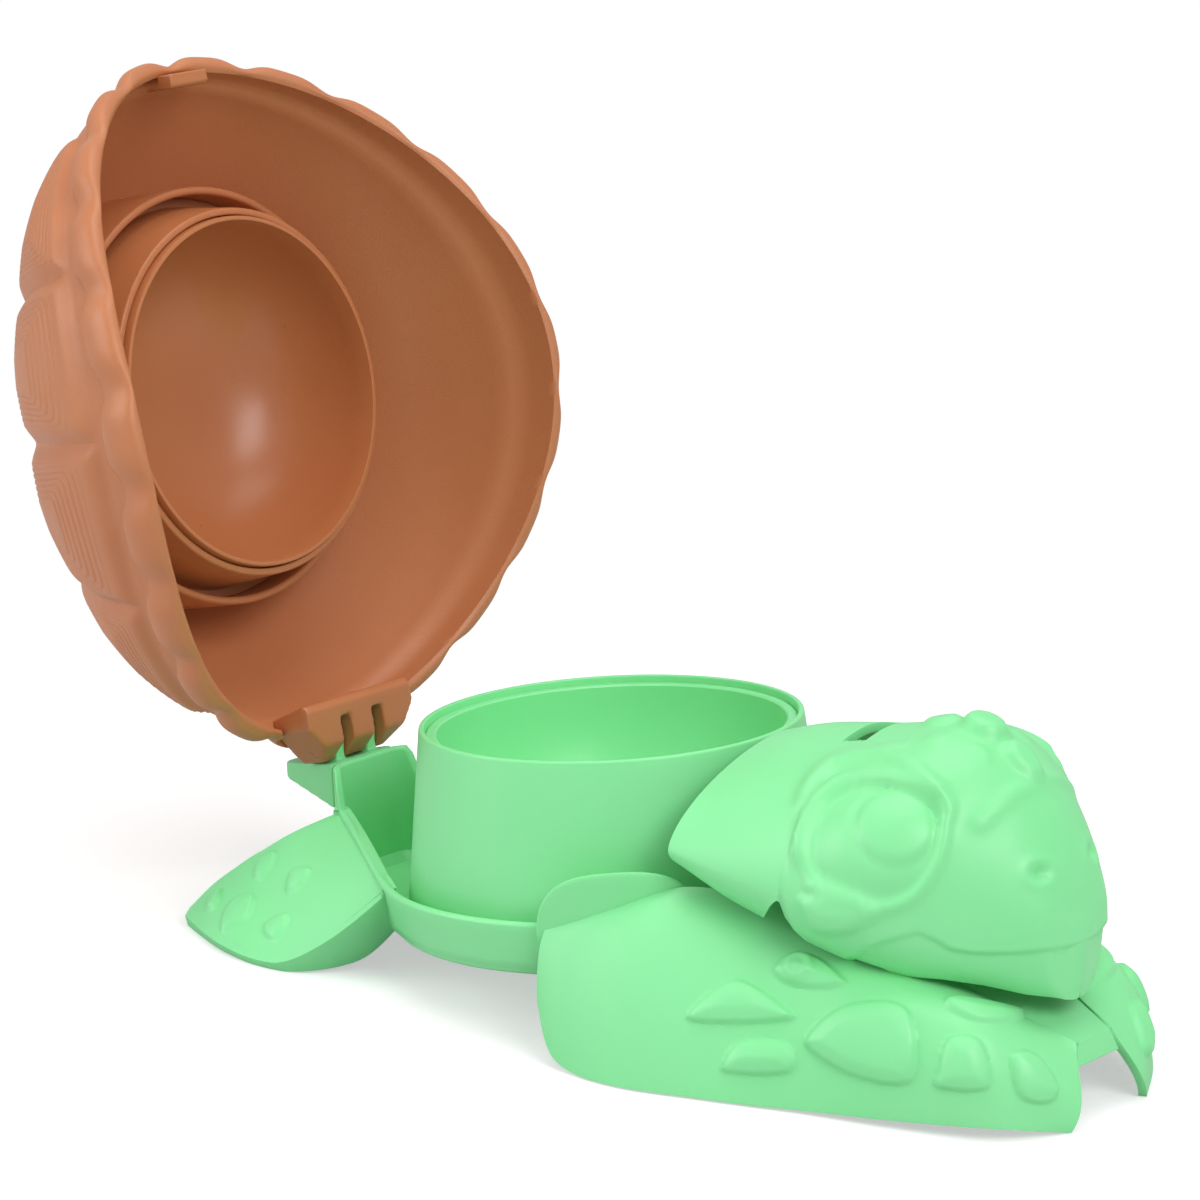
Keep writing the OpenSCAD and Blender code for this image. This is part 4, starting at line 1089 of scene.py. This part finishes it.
def collar_rings():
    """Collar from its rounded edge up to the inside of the dome."""
    plan = rays(around)
    sides = np.array([COLLAR_R, COLLAR_R + COLLAR_WALL])
    scale = [SHELL_L - SHELL_WALL, SHELL_W - SHELL_WALL]
    tops = [dome(*((r * plan - [RIM_MID, 0]) / scale).T, SHELL_WALL)[:, 2] + COLLAR_LAP for r in sides]
    edge = np.linspace(-math.pi / 2, math.pi / 2, 7)
    radii = [sides[0], *(sides.mean() + COLLAR_WALL / 2 * np.sin(edge)), sides[1]]
    levels = [tops[0], *(COLLAR_Z + 1 - np.cos(edge)), tops[1]]
    return np.stack([np.column_stack([r * plan, z + 0 * around]) for r, z in zip(radii, levels)])


add_piece("bowl_collar_ring", *looped(collar_rings()), brown, COVER, "bowl_collar")

lid_skirt_r = mix(CUP_RIM_R, CUP_FOOT_R, LID_SKIRT_H / CUP_H)
shoulder = LID_Z + LID_SKIRT_H
lid_skirt_section = rounded(
    [
        (CUP_RIM_R - CUP_WALL, LID_Z), (CUP_RIM_R, LID_Z), (lid_skirt_r, shoulder),
        (COLLAR_R - 0.05, shoulder), (COLLAR_R - 0.05, shoulder + 2),
        (lid_skirt_r - CUP_WALL, shoulder + 2),
    ],
    [0.8, 0.9, 0.6, 0.4, 0.4, 0.8],
)
add_piece("cover_skirt", *looped(spun(lid_skirt_section)), brown, COVER, "lid_skirt")

LIP_R, LIP_DROP, DISH_DEPTH = 57.2, 2.2, 48.2
dish_z = LID_Z - LIP_DROP
dish_in = bowl_curve(LIP_R - BOWL_WALL, DISH_DEPTH)[:0:-1]
dish_out = bowl_curve(LIP_R, DISH_DEPTH + BOWL_WALL)[8:]
seat_r = CUP_RIM_R - CUP_WALL - FIT
dish_lip = [
    (LIP_R - 1.4, 0.1), (LIP_R - 0.9, 0.0), (LIP_R - 0.3, 0.2), (LIP_R, 0.8), (LIP_R, LIP_DROP - 0.4),
    (seat_r, LIP_DROP + 1), (seat_r, LIP_DROP + 3),
]
dish_section = np.concatenate([dish_in, dish_lip, dish_out]) + [0, dish_z]
add_piece("cover_dish", *stacked(spun(dish_section)), brown, COVER, "lid_dish")

# %% [markdown]
# ## Floor and light
# The picture has a white ground with a soft shadow. A pale floor takes the shadow, and the world is
# plain white to the camera and dimmer as a light. One broad lamp overhead and two at the sides light
# the object at a plain level, so its colours come out about as they are written.

# %% Stage
FLOOR_GREY, FLOOR_GLOW, FLOOR_REACH, FLOOR_DROP = 0.62, 0.50, 6.0, 0.0002
FADE_FROM, FADE_TO = 0.22, 0.55
WORLD_LIGHT = 0.52
TUB_MIDDLE = np.array([0.0, 0.0, 0.1])


def grey(value):
    """Neutral colour with alpha."""
    return (value, value, value, 1.0)


def make_floor():
    """Wide pale floor that keeps the shadow near the tub; farther out the camera sees plain white."""
    mesh = bpy.data.meshes.new("floor")
    corners = [(-1, -1, 0), (1, -1, 0), (1, 1, 0), (-1, 1, 0)]
    mesh.from_pydata((FLOOR_REACH * np.array(corners)).tolist(), [], [(0, 1, 2, 3)])
    floor = linked("floor", mesh)
    floor.location.z = -FLOOR_DROP
    material, tree, shader = new_material("white_ground")
    wired(tree, shader, {"Base Color": grey(FLOOR_GREY), "Roughness": 0.8, "Specular IOR Level": 0.1})
    seen = node(tree, "LightPath", {}).outputs["Is Camera Ray"]
    glow = node(tree, "Emission", {"Color": grey(FLOOR_GLOW), "Strength": seen})
    lit = node(tree, "AddShader", {0: shader.outputs[0], 1: glow.outputs[0]})
    far = node(tree, "VectorMath", {0: own_place(tree)}, operation="LENGTH").outputs["Value"]
    fading = {"Value": far, "From Min": FADE_FROM, "From Max": FADE_TO}
    fade = node(tree, "MapRange", fading, interpolation_type="SMOOTHSTEP").outputs["Result"]
    blank = node(tree, "Math", {0: fade, 1: seen}, operation="MULTIPLY").outputs[0]
    white = node(tree, "Emission", {"Color": grey(1.0), "Strength": 1.0})
    both = node(tree, "MixShader", {"Fac": blank, 1: lit.outputs[0], 2: white.outputs[0]})
    wired(tree, tree.nodes["Material Output"], {"Surface": both.outputs[0]})
    mesh.materials.append(material)


def make_world():
    """White to the camera, also through a clear piece, and a softer white as light."""
    world = bpy.data.worlds.new("studio")
    world.use_nodes = True
    tree = world.node_tree
    path = node(tree, "LightPath", {}).outputs
    looks = {0: path["Is Camera Ray"], 1: path["Is Transmission Ray"]}
    seen = node(tree, "Math", looks, operation="MAXIMUM").outputs[0]
    strength = node(tree, "MapRange", {"Value": seen, "To Min": WORLD_LIGHT, "To Max": 1.0})
    wired(tree, tree.nodes["Background"], {"Color": grey(1.0), "Strength": strength.outputs["Result"]})
    scene.world = world


def add_lamp(name, place, aim, size, power):
    """Square soft box at place, turned to aim, in metres and watts."""
    lamp = linked(name, bpy.data.lights.new(name, "AREA"))
    lamp.data.shape = "SQUARE"
    lamp.data.size = size
    lamp.data.energy = power
    back = unit(np.array(place) - aim)
    side = unit(np.cross(UP, back))
    lamp.matrix_world = posed(place, side, np.cross(back, side), back)


make_floor()
make_world()
add_lamp("key_lamp", (1.5, -0.55, 1.35), TUB_MIDDLE, 1.0, 18)
add_lamp("top_lamp", (-0.1, 0.1, 1.9), TUB_MIDDLE, 1.4, 14)
add_lamp("left_lamp", (-1.3, -1.3, 0.9), TUB_MIDDLE, 1.2, 14)
